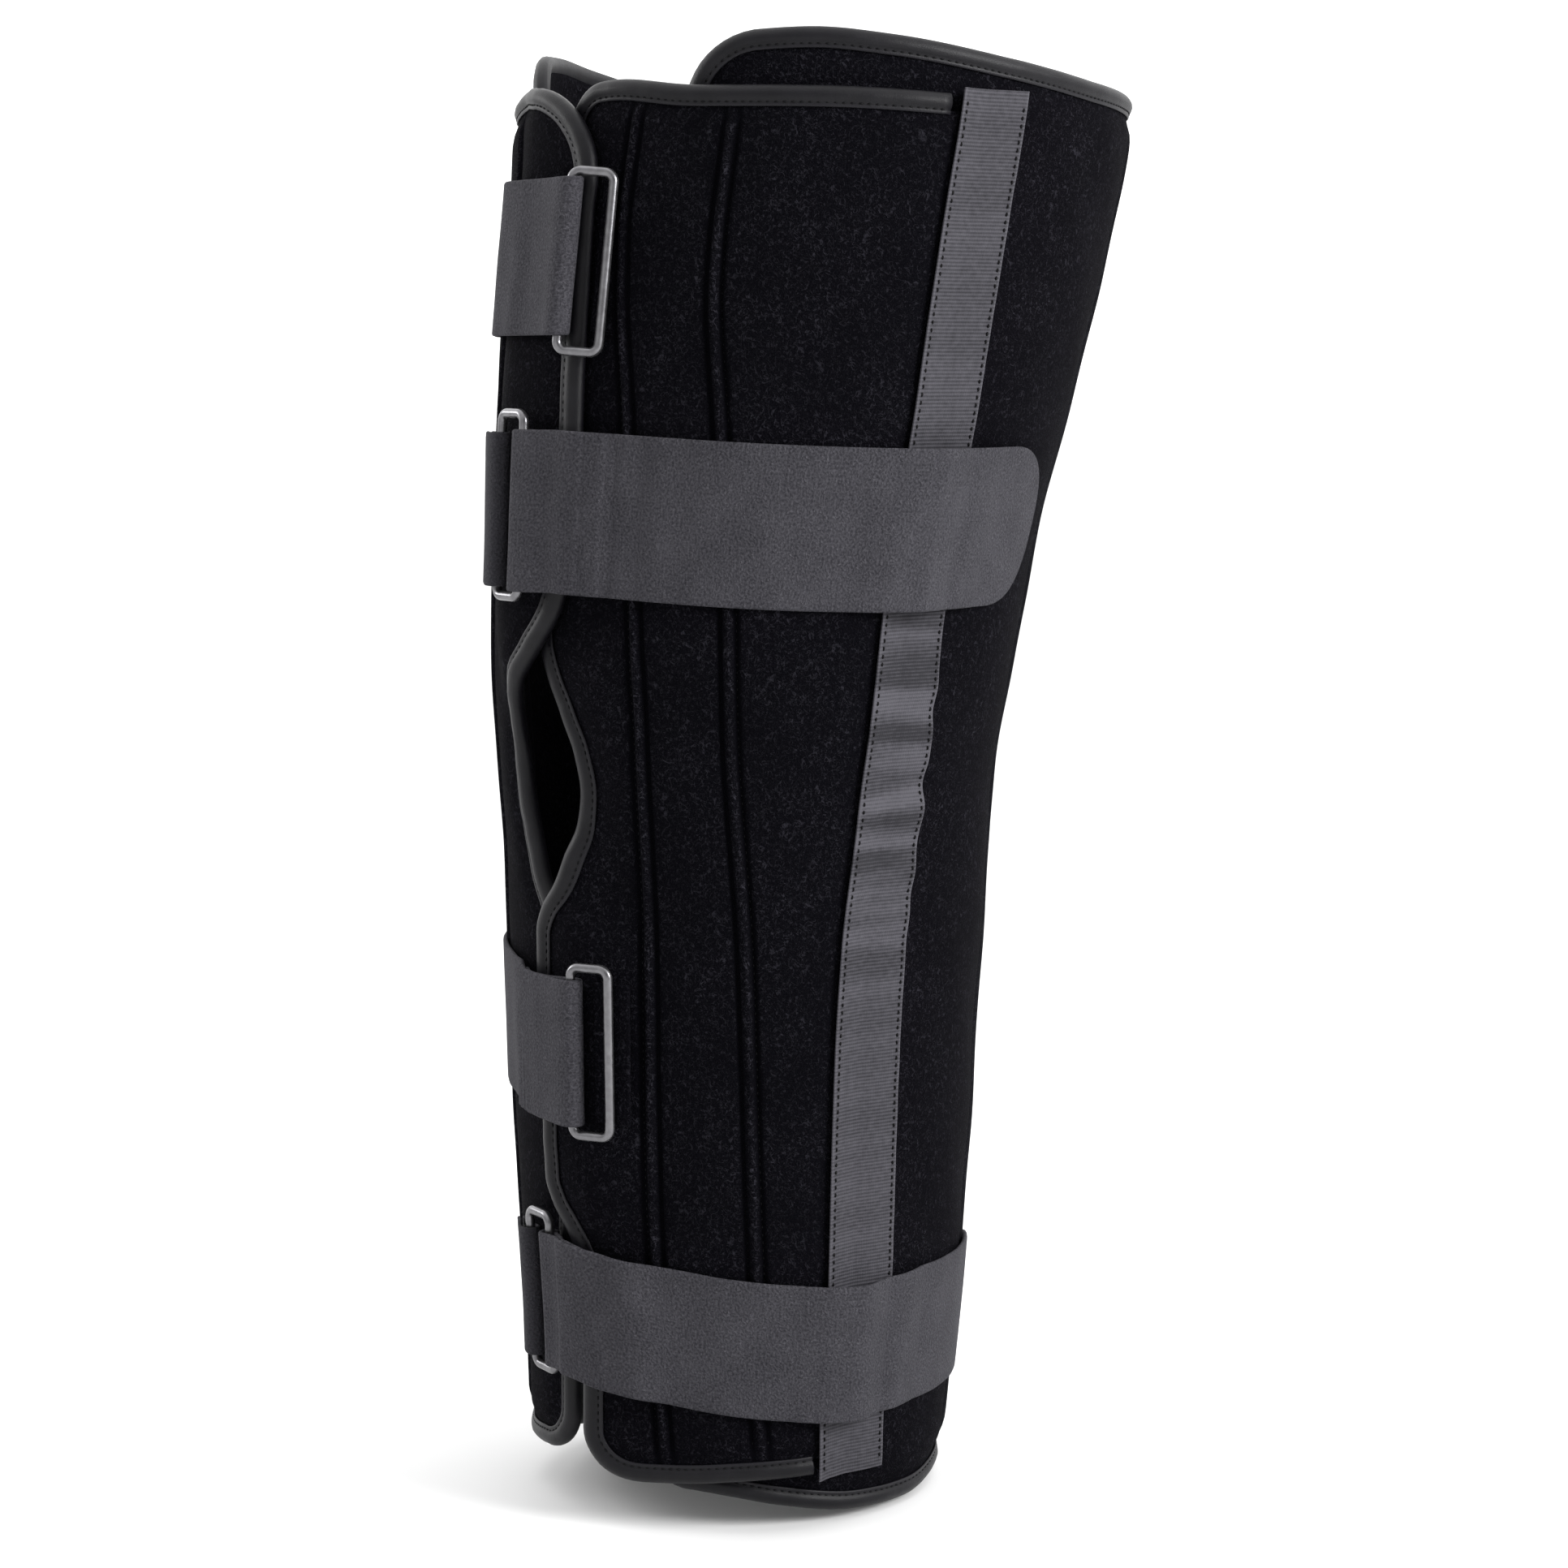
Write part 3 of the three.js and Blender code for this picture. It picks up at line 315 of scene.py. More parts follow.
def per_degree(height: np.ndarray | float, lift: float = 0.0) -> np.ndarray:
    """Args: height and lift in mm. Returns: mm round the leg for one degree."""
    return ((KNEE_WIDTH + KNEE_DEPTH) / 4 * girth(np.asarray(height) / PANEL_HEIGHT) + lift) * math.pi / 180


def on_leg(turn: np.ndarray, height: np.ndarray, lift: np.ndarray) -> np.ndarray:
    """Args: turn in degrees, height and lift in mm. Returns: points in metres, in a last axis of three."""
    turn, height, lift = np.broadcast_arrays(turn, height, lift)
    rise = height / PANEL_HEIGHT
    half_width = KNEE_WIDTH / 2 * girth(rise)
    half_depth = KNEE_DEPTH / 2 * girth(rise)
    side, front = np.sin(np.radians(turn)), np.cos(np.radians(turn))
    out_x, out_y = side / half_width, -front / half_depth
    length = np.hypot(out_x, out_y)
    x = half_width * side + lift * out_x / length
    y = KNEE_DEPTH * behind(rise) - half_depth * front + lift * out_y / length
    return np.stack([x, y, height], -1) * MM


def ripple(x: np.ndarray, y: np.ndarray, seed: int, longest: float, shortest: float) -> np.ndarray:
    """Soft seeded waves over the cloth.

    Args: x, y, places in mm; seed; longest and shortest wave in mm.
    Returns: heights between about -1 and 1.
    """
    random = np.random.default_rng(seed)
    total = np.zeros(np.broadcast(x, y).shape)
    waves = 14
    for _ in range(waves):
        length = random.uniform(shortest, longest)
        angle = random.uniform(0, math.pi)
        phase = random.uniform(0, 2 * math.pi)
        total += np.sin(2 * math.pi * (x * math.cos(angle) + y * math.sin(angle)) / length + phase)
    return total / math.sqrt(waves) / SPREAD


@dataclass(frozen=True)
class Mark:
    """A short pressed line across a panel: the turns of its ends and how fast it fades in there, its
    height at one turn, its slope, its groove and the ridge beside that."""

    ends: tuple[float, float]
    fades: tuple[float, float]
    height: float
    turn: float
    slope: float
    groove: tuple[float, float]
    ridge: tuple[float, float] = (0.0, 1.0)

    def relief(self, turn: np.ndarray, height: np.ndarray) -> np.ndarray:
        """Args: turn and height. Returns: the mark's relief there."""
        away = np.abs(height - self.height - self.slope * (turn - self.turn))
        first, last = self.ends
        within = ease((turn - first) / self.fades[0]) * ease((last - turn) / self.fades[1])
        return within * (raised(away - MARK_OFF, self.ridge) - raised(away, self.groove))


# The near panel's short level seam below the knee, and its slanting crease near the top
MARKS = (
    Mark((12.0, 31.0), (3.0, 2.0), -146.0, 16.0, -0.15, (1.2, 1.1), (0.5, 1.2)),
    Mark((21.0, 35.0), (3.0, 3.0), 186.0, 21.0, 1.5, (0.7, 2.2)),
)


def overlap_lift(past: np.ndarray, height: np.ndarray) -> np.ndarray:
    """Args: past, degrees beyond the edge of the panel below; height. Returns: a side panel's base lift."""
    down = (OVERLAP_END - past * per_degree(height)) / (OVERLAP_END - OVERLAP_REST)
    return ON_BACK + (THICKNESS + LAYER_GAP) * ease(down)


class Side(Enum):
    """The two side panels; the value is the way their turn grows."""

    NEAR = 1
    FAR = -1

    def front(self, rise: np.ndarray) -> np.ndarray:
        """Args: rise, height as a share. Returns: the front edge's turn in the panel's own measure."""
        return edge_near(rise) if self is Side.NEAR else -edge_far(rise)

    def lift(self, turn: np.ndarray, height: np.ndarray) -> np.ndarray:
        """Args: turn and height. Returns: the lift of the panel's inner face."""
        rise = height / PANEL_HEIGHT
        past = turn - edge_far(rise) if self is Side.NEAR else edge_near(rise) - turn
        over = ease(-self.value * height / OVERLAP_CHANGE)
        return mix(ON_BACK, overlap_lift(past, height), over)


def cloth_top(turn: np.ndarray, height: np.ndarray) -> np.ndarray:
    """Args: turn and height. Returns: how high the outermost cloth stands there, under the straps."""
    rise = height / PANEL_HEIGHT
    size = np.abs(turn)
    scale = per_degree(height)
    rear = tape_front(rise) + (TAPE_LAP + BINDING_WIDTH) / scale
    tape_end = tape_front(rise) + TAPE_WIDTH / scale
    top = np.where(size > BACK_FRONT, THICKNESS, 0.0)
    near = (turn > edge_near(rise)) & (turn < rear)
    far = (turn < edge_far(rise)) & (turn > -rear)
    top = np.where(near, np.maximum(top, Side.NEAR.lift(turn, height) + THICKNESS), top)
    top = np.where(far, np.maximum(top, Side.FAR.lift(turn, height) + THICKNESS), top)
    top = np.where((size > tape_front(rise)) & (size < rear), top + TAPE_THICKNESS + LAYER_GAP, top)
    return np.where((size >= rear) & (size < tape_end), ON_BACK + TAPE_THICKNESS, top)


class Pattern(Enum):
    """How a finish varies over its piece."""

    LOOPS = "loops"
    KNIT = "knit"
    RIBBED = "ribbed"
    FELT = "felt"
    PLAIN = "plain"
    METAL = "metal"


@dataclass(frozen=True)
class Finish:
    """One finish: its two colours, roughness, mirror strength and pattern."""

    name: str
    colour: tuple[float, float, float]
    light: tuple[float, float, float]
    roughness: float
    shine: float
    pattern: Pattern

    def material(self) -> bpy.types.Material:
        """Returns: the material, made once for each finish."""
        known = bpy.data.materials.get(self.name)
        return known or Shader(self).material


LOOP_CLOTH = Finish("loop_cloth_look", (0.0012, 0.0011, 0.0019), (0.019, 0.0182, 0.0235), 0.9, 0.02,
                    Pattern.LOOPS)
BINDING = Finish("binding_look", (0.0026, 0.0024, 0.0036), (0.0062, 0.0058, 0.0078), 0.45, 0.17,
                 Pattern.KNIT)
TAPE = Finish("tape_look", (0.015, 0.0145, 0.0175), (0.058, 0.056, 0.065), 0.7, 0.12, Pattern.RIBBED)
WEBBING = Finish("webbing_look", (0.014, 0.0135, 0.0168), (0.064, 0.062, 0.071), 0.8, 0.1, Pattern.FELT)
# Painted shade: the strap's felt with its light colour darkened, for the folded tabs that sit in shade
SHADED_TAB_FELT = Finish("shaded_tab_look", (0.013, 0.0125, 0.0155), (0.034, 0.033, 0.039), 0.85, 0.12, Pattern.FELT)
THREAD = Finish("thread_look", (0.0025, 0.0025, 0.003), (0.0025, 0.0025, 0.003), 0.6, 0.1, Pattern.PLAIN)
RING_METAL = Finish("ring_look", (0.13, 0.128, 0.135), (0.17, 0.168, 0.176), 0.3, 0.5, Pattern.METAL)
FLOOR = Finish("floor_look", (0.66, 0.66, 0.66), (0.66, 0.66, 0.66), 0.9, 0.0, Pattern.PLAIN)


class Shader:
    """Builds the node tree of one finish."""

    def __init__(self, finish: Finish) -> None:
        self.finish = finish
        self.material = bpy.data.materials.new(finish.name)
        self.material.use_nodes = True
        self.tree = self.material.node_tree
        self.surface = self.tree.nodes["Principled BSDF"]
        self.surface.inputs["Base Color"].default_value = (*finish.colour, 1)
        self.surface.inputs["Roughness"].default_value = finish.roughness
        self.surface.inputs["Specular IOR Level"].default_value = finish.shine
        if finish.pattern is Pattern.METAL:
            self.surface.inputs["Metallic"].default_value = METALLIC
        makers = {
            Pattern.LOOPS: self.loops, Pattern.KNIT: self.knit, Pattern.RIBBED: self.ribbed,
            Pattern.FELT: self.felt, Pattern.METAL: self.metal,
        }
        if finish.pattern in makers:
            makers[finish.pattern]()

    def node(self, kind: str, *sources: bpy.types.NodeSocket, **values: object) -> bpy.types.Node:
        """Adds a node.

        Args: kind, the node's type; sources, linked to its first inputs; values, its settings, and the
            constants of inputs by their place as in0, in1.
        Returns: the node.
        """
        made = self.tree.nodes.new(kind)
        for name, value in values.items():
            if name.startswith("in") and name[2:].isdigit():
                made.inputs[int(name[2:])].default_value = value
            else:
                setattr(made, name, value)
        for socket, source in zip(made.inputs, sources):
            self.tree.links.new(source, socket)
        return made

    def place(self, scale: tuple[float, float, float], uv: bool = False) -> bpy.types.NodeSocket:
        """Args: scale of the pattern, in 1/m or 1/mm on the cloth; uv, to use the cloth's own measure.
        Returns: the scaled place."""
        source = self.node("ShaderNodeTexCoord").outputs["UV" if uv else "Object"]
        return self.node("ShaderNodeMapping", source, in3=scale).outputs[0]

    def noise(self, place: bpy.types.NodeSocket, scale: float, detail: float = 2.0,
              twist: float = 0.0) -> bpy.types.NodeSocket:
        """Args: place; scale; detail; twist, the noise's distortion. Returns: its value socket."""
        made = self.node("ShaderNodeTexNoise", place)
        for name, value in (("Scale", scale), ("Detail", detail), ("Distortion", twist)):
            made.inputs[name].default_value = value
        return made.outputs[0]

    def sum(self, operation: str, a: bpy.types.NodeSocket,
            b: float | bpy.types.NodeSocket = 0.0) -> bpy.types.NodeSocket:
        """Args: operation; a and b, its terms. Returns: the result's socket."""
        if isinstance(b, bpy.types.NodeSocket):
            return self.node("ShaderNodeMath", a, b, operation=operation).outputs[0]
        return self.node("ShaderNodeMath", a, operation=operation, in1=b).outputs[0]

    def ramp(self, value: bpy.types.NodeSocket, low: float, high: float, to_low: float,
             to_high: float) -> bpy.types.NodeSocket:
        """Args: value; its range; the range it is brought to. Returns: the new value, held in its range."""
        return self.node("ShaderNodeMapRange", value, in1=low, in2=high, in3=to_low, in4=to_high).outputs[0]

    def away(self, value: bpy.types.NodeSocket, middle: float) -> bpy.types.NodeSocket:
        """Args: value; middle. Returns: how far the value is from the middle."""
        return self.sum("ABSOLUTE", self.sum("SUBTRACT", value, middle))

    def curls(self, place: bpy.types.NodeSocket, scale: float, width: float) -> bpy.types.NodeSocket:
        """Args: place; scale of the curls; width of a fibre. Returns: 1 on thin curly lines, else 0."""
        away = self.away(self.noise(place, scale, 1.0, twist=1.2), 0.5)
        thin = self.ramp(away, 0.0, width, 1.0, 0.0)
        broken = self.ramp(self.noise(place, scale * 1.7, 1.0), 0.44, 0.56, 0.0, 1.0)
        return self.sum("MULTIPLY", thin, broken)

    def colour(self, share: bpy.types.NodeSocket) -> None:
        """Args: share, from the finish's colour to its light one."""
        blend = self.node("ShaderNodeMix", share, data_type="RGBA")
        blend.inputs[6].default_value = (*self.finish.colour, 1)
        blend.inputs[7].default_value = (*self.finish.light, 1)
        self.tree.links.new(blend.outputs[2], self.surface.inputs["Base Color"])

    def relief(self, height: bpy.types.NodeSocket, strength: float, distance: float) -> None:
        """Args: height pattern; strength; distance of its full height, in metres."""
        made = self.node("ShaderNodeBump", in0=strength, in1=distance)
        self.tree.links.new(height, made.inputs["Height"])
        self.tree.links.new(made.outputs[0], self.surface.inputs["Normal"])

    def loops(self) -> None:
        """Loop cloth: a dark pile with short lighter curly fibres, with painted shade in the seams' grooves
        and a painted highlight on their ridges.
        """
        place = self.place(IN_MM)
        large = self.curls(place, 0.36, 0.05)
        small = self.curls(place, 0.6, 0.06)
        fibres = self.sum("MAXIMUM", large, self.sum("MULTIPLY", small, 0.7))
        fuzz = self.noise(place, 2.2, 3.0)
        patches = self.ramp(self.noise(place, 0.05, 2.0), 0.3, 0.7, 0.5, 1.0)
        pile = self.sum("ADD", fibres, self.ramp(fuzz, 0.42, 0.8, 0.0, 0.2))
        # Painted shade and painted highlight from the mark attribute: near black deep in seam grooves,
        # lighter on the ridges
        mark = self.node("ShaderNodeAttribute", attribute_name="mark").outputs["Fac"]
        lit = self.ramp(mark, -1.0, 0.8, 1.9, 0.0)
        self.colour(self.sum("MULTIPLY", pile, self.sum("MULTIPLY", patches, lit)))
        self.relief(self.sum("ADD", fibres, fuzz), 0.8, 0.0006)

    def knit(self) -> None:
        """Binding: a smooth stretch cloth with a very fine knit, and a painted highlight along its turned
        lip.
        """
        place = self.place(IN_MM)
        fine = self.noise(place, 3.2, 2.0)
        soft = self.noise(place, 0.14, 2.0)
        across = self.node("ShaderNodeSeparateXYZ", self.place(ON_CLOTH, uv=True)).outputs[0]
        # Painted highlight: the colour is lighter along the lip where the binding turns over
        lip = self.ramp(across, 5.2, 5.9, 0.0, 1.0)
        self.colour(self.sum("ADD", self.ramp(soft, 0.35, 0.7, 0.0, 0.5), lip))
        self.relief(self.sum("ADD", fine, self.sum("MULTIPLY", soft, 2.0)), 0.35, 0.0003)

    def ribbed(self) -> None:
        """Hook tape: ribs across it, finer threads along it, lighter selvages, and painted shade and
        highlight in bands along its folds, strongest at the knee."""
        place = self.place(ON_CLOTH, uv=True)
        parts = self.node("ShaderNodeSeparateXYZ", place)
        across, along = parts.outputs[0], parts.outputs[1]
        threads = self.sum("SINE", self.sum("MULTIPLY", across, 2 * math.pi / TAPE_THREADS))
        ribs = self.sum("SINE", self.sum("MULTIPLY", along, 2 * math.pi / TAPE_RIB))
        from_middle = self.away(across, TAPE_WIDTH / 2)
        selvage = self.ramp(from_middle, TAPE_WIDTH / 2 - 1.0, TAPE_WIDTH / 2 - 0.6, 0.0, 0.35)
        worn = self.ramp(self.noise(place, 0.5, 3.0), 0.3, 0.75, 0.05, 0.4)
        # Painted shade and painted highlight: darker and lighter bands standing in for the shading of the
        # tape's folds, strongest near the knee
        folds = self.noise(self.place((0.012, 0.1, 1.0), uv=True), 1.0, 1.0)
        from_knee = self.away(along, TAPE_KNEE)
        depth = self.ramp(from_knee, 20.0, 75.0, 0.75, 0.12)
        pressed = self.sum("MULTIPLY", self.ramp(folds, 0.4, 0.62, -0.6, 0.6), depth)
        shade = self.sum("ADD", self.ramp(ribs, -1.0, 1.0, 0.0, 0.5), self.sum("ADD", selvage, worn))
        self.colour(self.sum("ADD", shade, pressed))
        self.relief(self.sum("ADD", threads, self.noise(place, 2.0, 2.0)), 0.25, 0.0002)

    def felt(self) -> None:
        """Strap cloth: a short even felt with fine fibres."""
        place = self.place(ON_CLOTH, uv=True)
        fibres = self.curls(place, 0.55, 0.08)
        grain = self.noise(place, 1.3, 4.0)
        soft = self.noise(place, 0.07, 2.0)
        share = self.sum("ADD", self.ramp(grain, 0.35, 0.7, 0.0, 0.6), self.ramp(soft, 0.3, 0.7, 0.0, 0.15))
        self.colour(self.sum("ADD", share, self.sum("MULTIPLY", fibres, 0.35)))
        self.relief(self.sum("ADD", grain, self.sum("MULTIPLY", fibres, 0.6)), 0.8, 0.0006)

    def metal(self) -> None:
        """Dark wire with a little wear."""
        wear = self.noise(self.place(IN_MM), 0.5, 3.0)
        self.colour(self.ramp(wear, 0.4, 0.7, 0.0, 1.0))
        rough = self.ramp(wear, 0.3, 0.7, self.finish.roughness - 0.03, self.finish.roughness + 0.04)
        self.tree.links.new(rough, self.surface.inputs["Roughness"])


class Piece:
    """Points, faces and cloth places of one piece, gathered into a mesh of one or more closed bodies."""

    def __init__(self, name: str, *finishes: Finish) -> None:
        self.name = name
        self.finishes = finishes
        self.points: list[np.ndarray] = []
        self.places: list[np.ndarray] = []
        self.painted_light: list[np.ndarray] = []
        self.faces: list[list[int]] = []
        self.slots: list[int] = []
        self.count = 0

    def add(self, points: np.ndarray, places: np.ndarray, faces: list[list[int]], slot: int = 0,
            painted_light: np.ndarray | float = 0.0) -> None:
        """Args: points (n, 3) in metres; places (n, 2) in mm; faces, as point numbers; slot, the finish;
        marks (n), the painted shade there, with painted highlight where it is below 0."""
        self.points.append(points.reshape(-1, 3))
        self.painted_light.append(np.broadcast_to(painted_light, len(self.points[-1])))
        self.places.append(places.reshape(-1, 2))
        self.faces.extend([[n + self.count for n in face] for face in faces])
        self.slots.extend([slot] * len(faces))
        self.count += len(self.points[-1])

    def sweep(self, sections: np.ndarray, places: np.ndarray, closed: bool = False, slot: int = 0) -> None:
        """Adds a body through closed sections.

        Args: sections (n, m, 3); places (n, m, 2); closed, if the last section joins the first; slot.
        """
        rows, size = sections.shape[:2]
        row, column = np.meshgrid(np.arange(rows if closed else rows - 1), np.arange(size), indexing="ij")
        after, beside = (row + 1) % rows, (column + 1) % size
        here, ahead = row * size, after * size
        quads = np.stack([here + column, here + beside, ahead + beside, ahead + column])
        faces = quads.reshape(4, -1).T.tolist()
        if not closed:
            faces.append(list(range(size)))
            faces.append(list(range((rows - 1) * size, rows * size)))
        self.add(sections, places, faces, slot)

    def slab(self, outer: np.ndarray, inner: np.ndarray, places: np.ndarray, painted_light: np.ndarray) -> None:
        """Adds a padded sheet. Args: outer and inner (n, m, 3) faces; places (n, m, 2); marks (n, m), its
        painted shade and painted highlight.
        """
        rows, size = outer.shape[:2]
        row, column = np.meshgrid(np.arange(rows - 1), np.arange(size - 1), indexing="ij")
        base = (row * size + column).ravel()
        quads = np.stack([base, base + 1, base + size + 1, base + size], 1)
        around = [*range(size), *(r * size + size - 1 for r in range(1, rows))]
        around += [(rows - 1) * size + c for c in range(size - 2, -1, -1)]
        around += [r * size for r in range(rows - 2, 0, -1)]
        under = rows * size
        walls = [[a, b, b + under, a + under] for a, b in zip(around, around[1:] + around[:1])]
        faces = quads.tolist() + (quads + under)[:, ::-1].tolist() + walls
        points = np.concatenate([outer.reshape(-1, 3), inner.reshape(-1, 3)])
        self.add(points, np.concatenate([places.reshape(-1, 2)] * 2), faces,
                 painted_light=np.concatenate([painted_light.ravel()] * 2))

    def stitches(self, points: np.ndarray, normals: np.ndarray, slot: int, pitch: float = 2.5,
                 size: float = 1.0) -> None:
        """Sews a row of stitches.

        Args: points (n, 3) on the seam in metres, close together; normals (n, 3); slot, the thread's
            finish; pitch, the length of a stitch and the gap after it, in mm; size, the thread's share.
        """
        along = run_along(points) / MM
        shares, rises = np.array(STITCH_AT), np.array(STITCH_RISE)
        radii = np.array(STITCH_RADII) * size
        angles = np.arange(STITCH_SIDES) * 2 * math.pi / STITCH_SIDES
        for middle in np.arange(pitch, along[-1] - pitch, pitch):
            at = middle + shares * pitch
            place = np.stack([np.interp(at, along, points[:, axis]) for axis in range(3)], 1)
            up = np.array([np.interp(middle, along, normals[:, axis]) for axis in range(3)])
            across = np.cross(place[-1] - place[0], up)
            across /= np.linalg.norm(across) or 1.0
            ring = np.cos(angles)[:, None] * across + np.sin(angles)[:, None] * up
            body = place[:, None] + (rises[:, None] * up)[:, None] * MM + radii[:, None, None] * ring * MM
            self.sweep(body, np.zeros((len(shares), STITCH_SIDES, 2)), slot=slot)

    def build(self) -> bpy.types.Object:
        """Returns: the object, at the origin and unrotated, with its faces turned outwards."""
        mesh = bpy.data.meshes.new(self.name)
        mesh.from_pydata(np.concatenate(self.points).tolist(), [], self.faces)
        for finish in self.finishes:
            mesh.materials.append(finish.material())
        mesh.polygons.foreach_set("material_index", self.slots)
        mesh.polygons.foreach_set("use_smooth", [True] * len(self.faces))
        layer = mesh.uv_layers.new(name="cloth")
        corners = np.empty(len(mesh.loops), np.int32)
        mesh.loops.foreach_get("vertex_index", corners)
        layer.data.foreach_set("uv", np.concatenate(self.places)[corners].ravel())
        # Painted shade of the seams' grooves and painted highlight of their ridges, kept for the loop cloth's
        # colour
        painted_light = mesh.attributes.new("mark", "FLOAT", "POINT")
        painted_light.data.foreach_set("value", np.concatenate(self.painted_light).astype(np.float32))
        work = bmesh.new()
        work.from_mesh(mesh)
        bmesh.ops.recalc_face_normals(work, faces=work.faces)
        work.to_mesh(mesh)
        work.free()
        made = bpy.data.objects.new(self.name, mesh)
        bpy.context.scene.collection.objects.link(made)
        log.info("%s: %d faces", self.name, len(mesh.polygons))
        return made


def inset(outline: np.ndarray, distance: float) -> np.ndarray:
    """Args: outline (n, 2), its inside on the left; distance in mm. Returns: the outline moved inwards."""
    into = outline - np.roll(outline, 1, 0)
    out = np.roll(outline, -1, 0) - outline
    into /= np.linalg.norm(into, axis=1)[:, None]
    out /= np.linalg.norm(out, axis=1)[:, None]
    normal = np.stack([-into[:, 1] - out[:, 1], into[:, 0] + out[:, 0]], 1)
    normal /= np.linalg.norm(normal, axis=1)[:, None]
    stretch = 1 / np.maximum(0.5, -normal[:, 0] * into[:, 1] + normal[:, 1] * into[:, 0])
    return outline + normal * (distance * stretch)[:, None]


def corner_arc(corner: np.ndarray, radius: float, start: np.ndarray, finish: np.ndarray) -> np.ndarray:
    """Args: corner; radius; start and finish, the directions of its two edges. Returns: its quarter round."""
    angle = np.linspace(0, math.pi / 2, 2 * CORNER_STEPS + 1)[:, None]
    centre = corner - radius * (start + finish)
    return centre + radius * (np.cos(angle) * start + np.sin(angle) * finish)


def pattern(turn: np.ndarray | float, height: np.ndarray | float) -> np.ndarray:
    """Args: turn and height. Returns: the pattern point or points."""
    return np.stack(np.broadcast_arrays(turn * per_degree(height), height), -1).astype(float)


def corner_point(turn: float, table: Smooth, radius: float) -> np.ndarray:
    """Args: turn of the front edge; table of the other edge; radius. Returns: the corner of the two, at the
    height that the other edge has where the corner's round ends."""
    scale = per_degree(table(turn) * PANEL_HEIGHT)
    return pattern(turn, table(turn + radius / scale) * PANEL_HEIGHT)


def turn_of(points: np.ndarray) -> np.ndarray:
    """Args: points on the pattern. Returns: their turns."""
    return points[..., 0] / per_degree(points[..., 1])


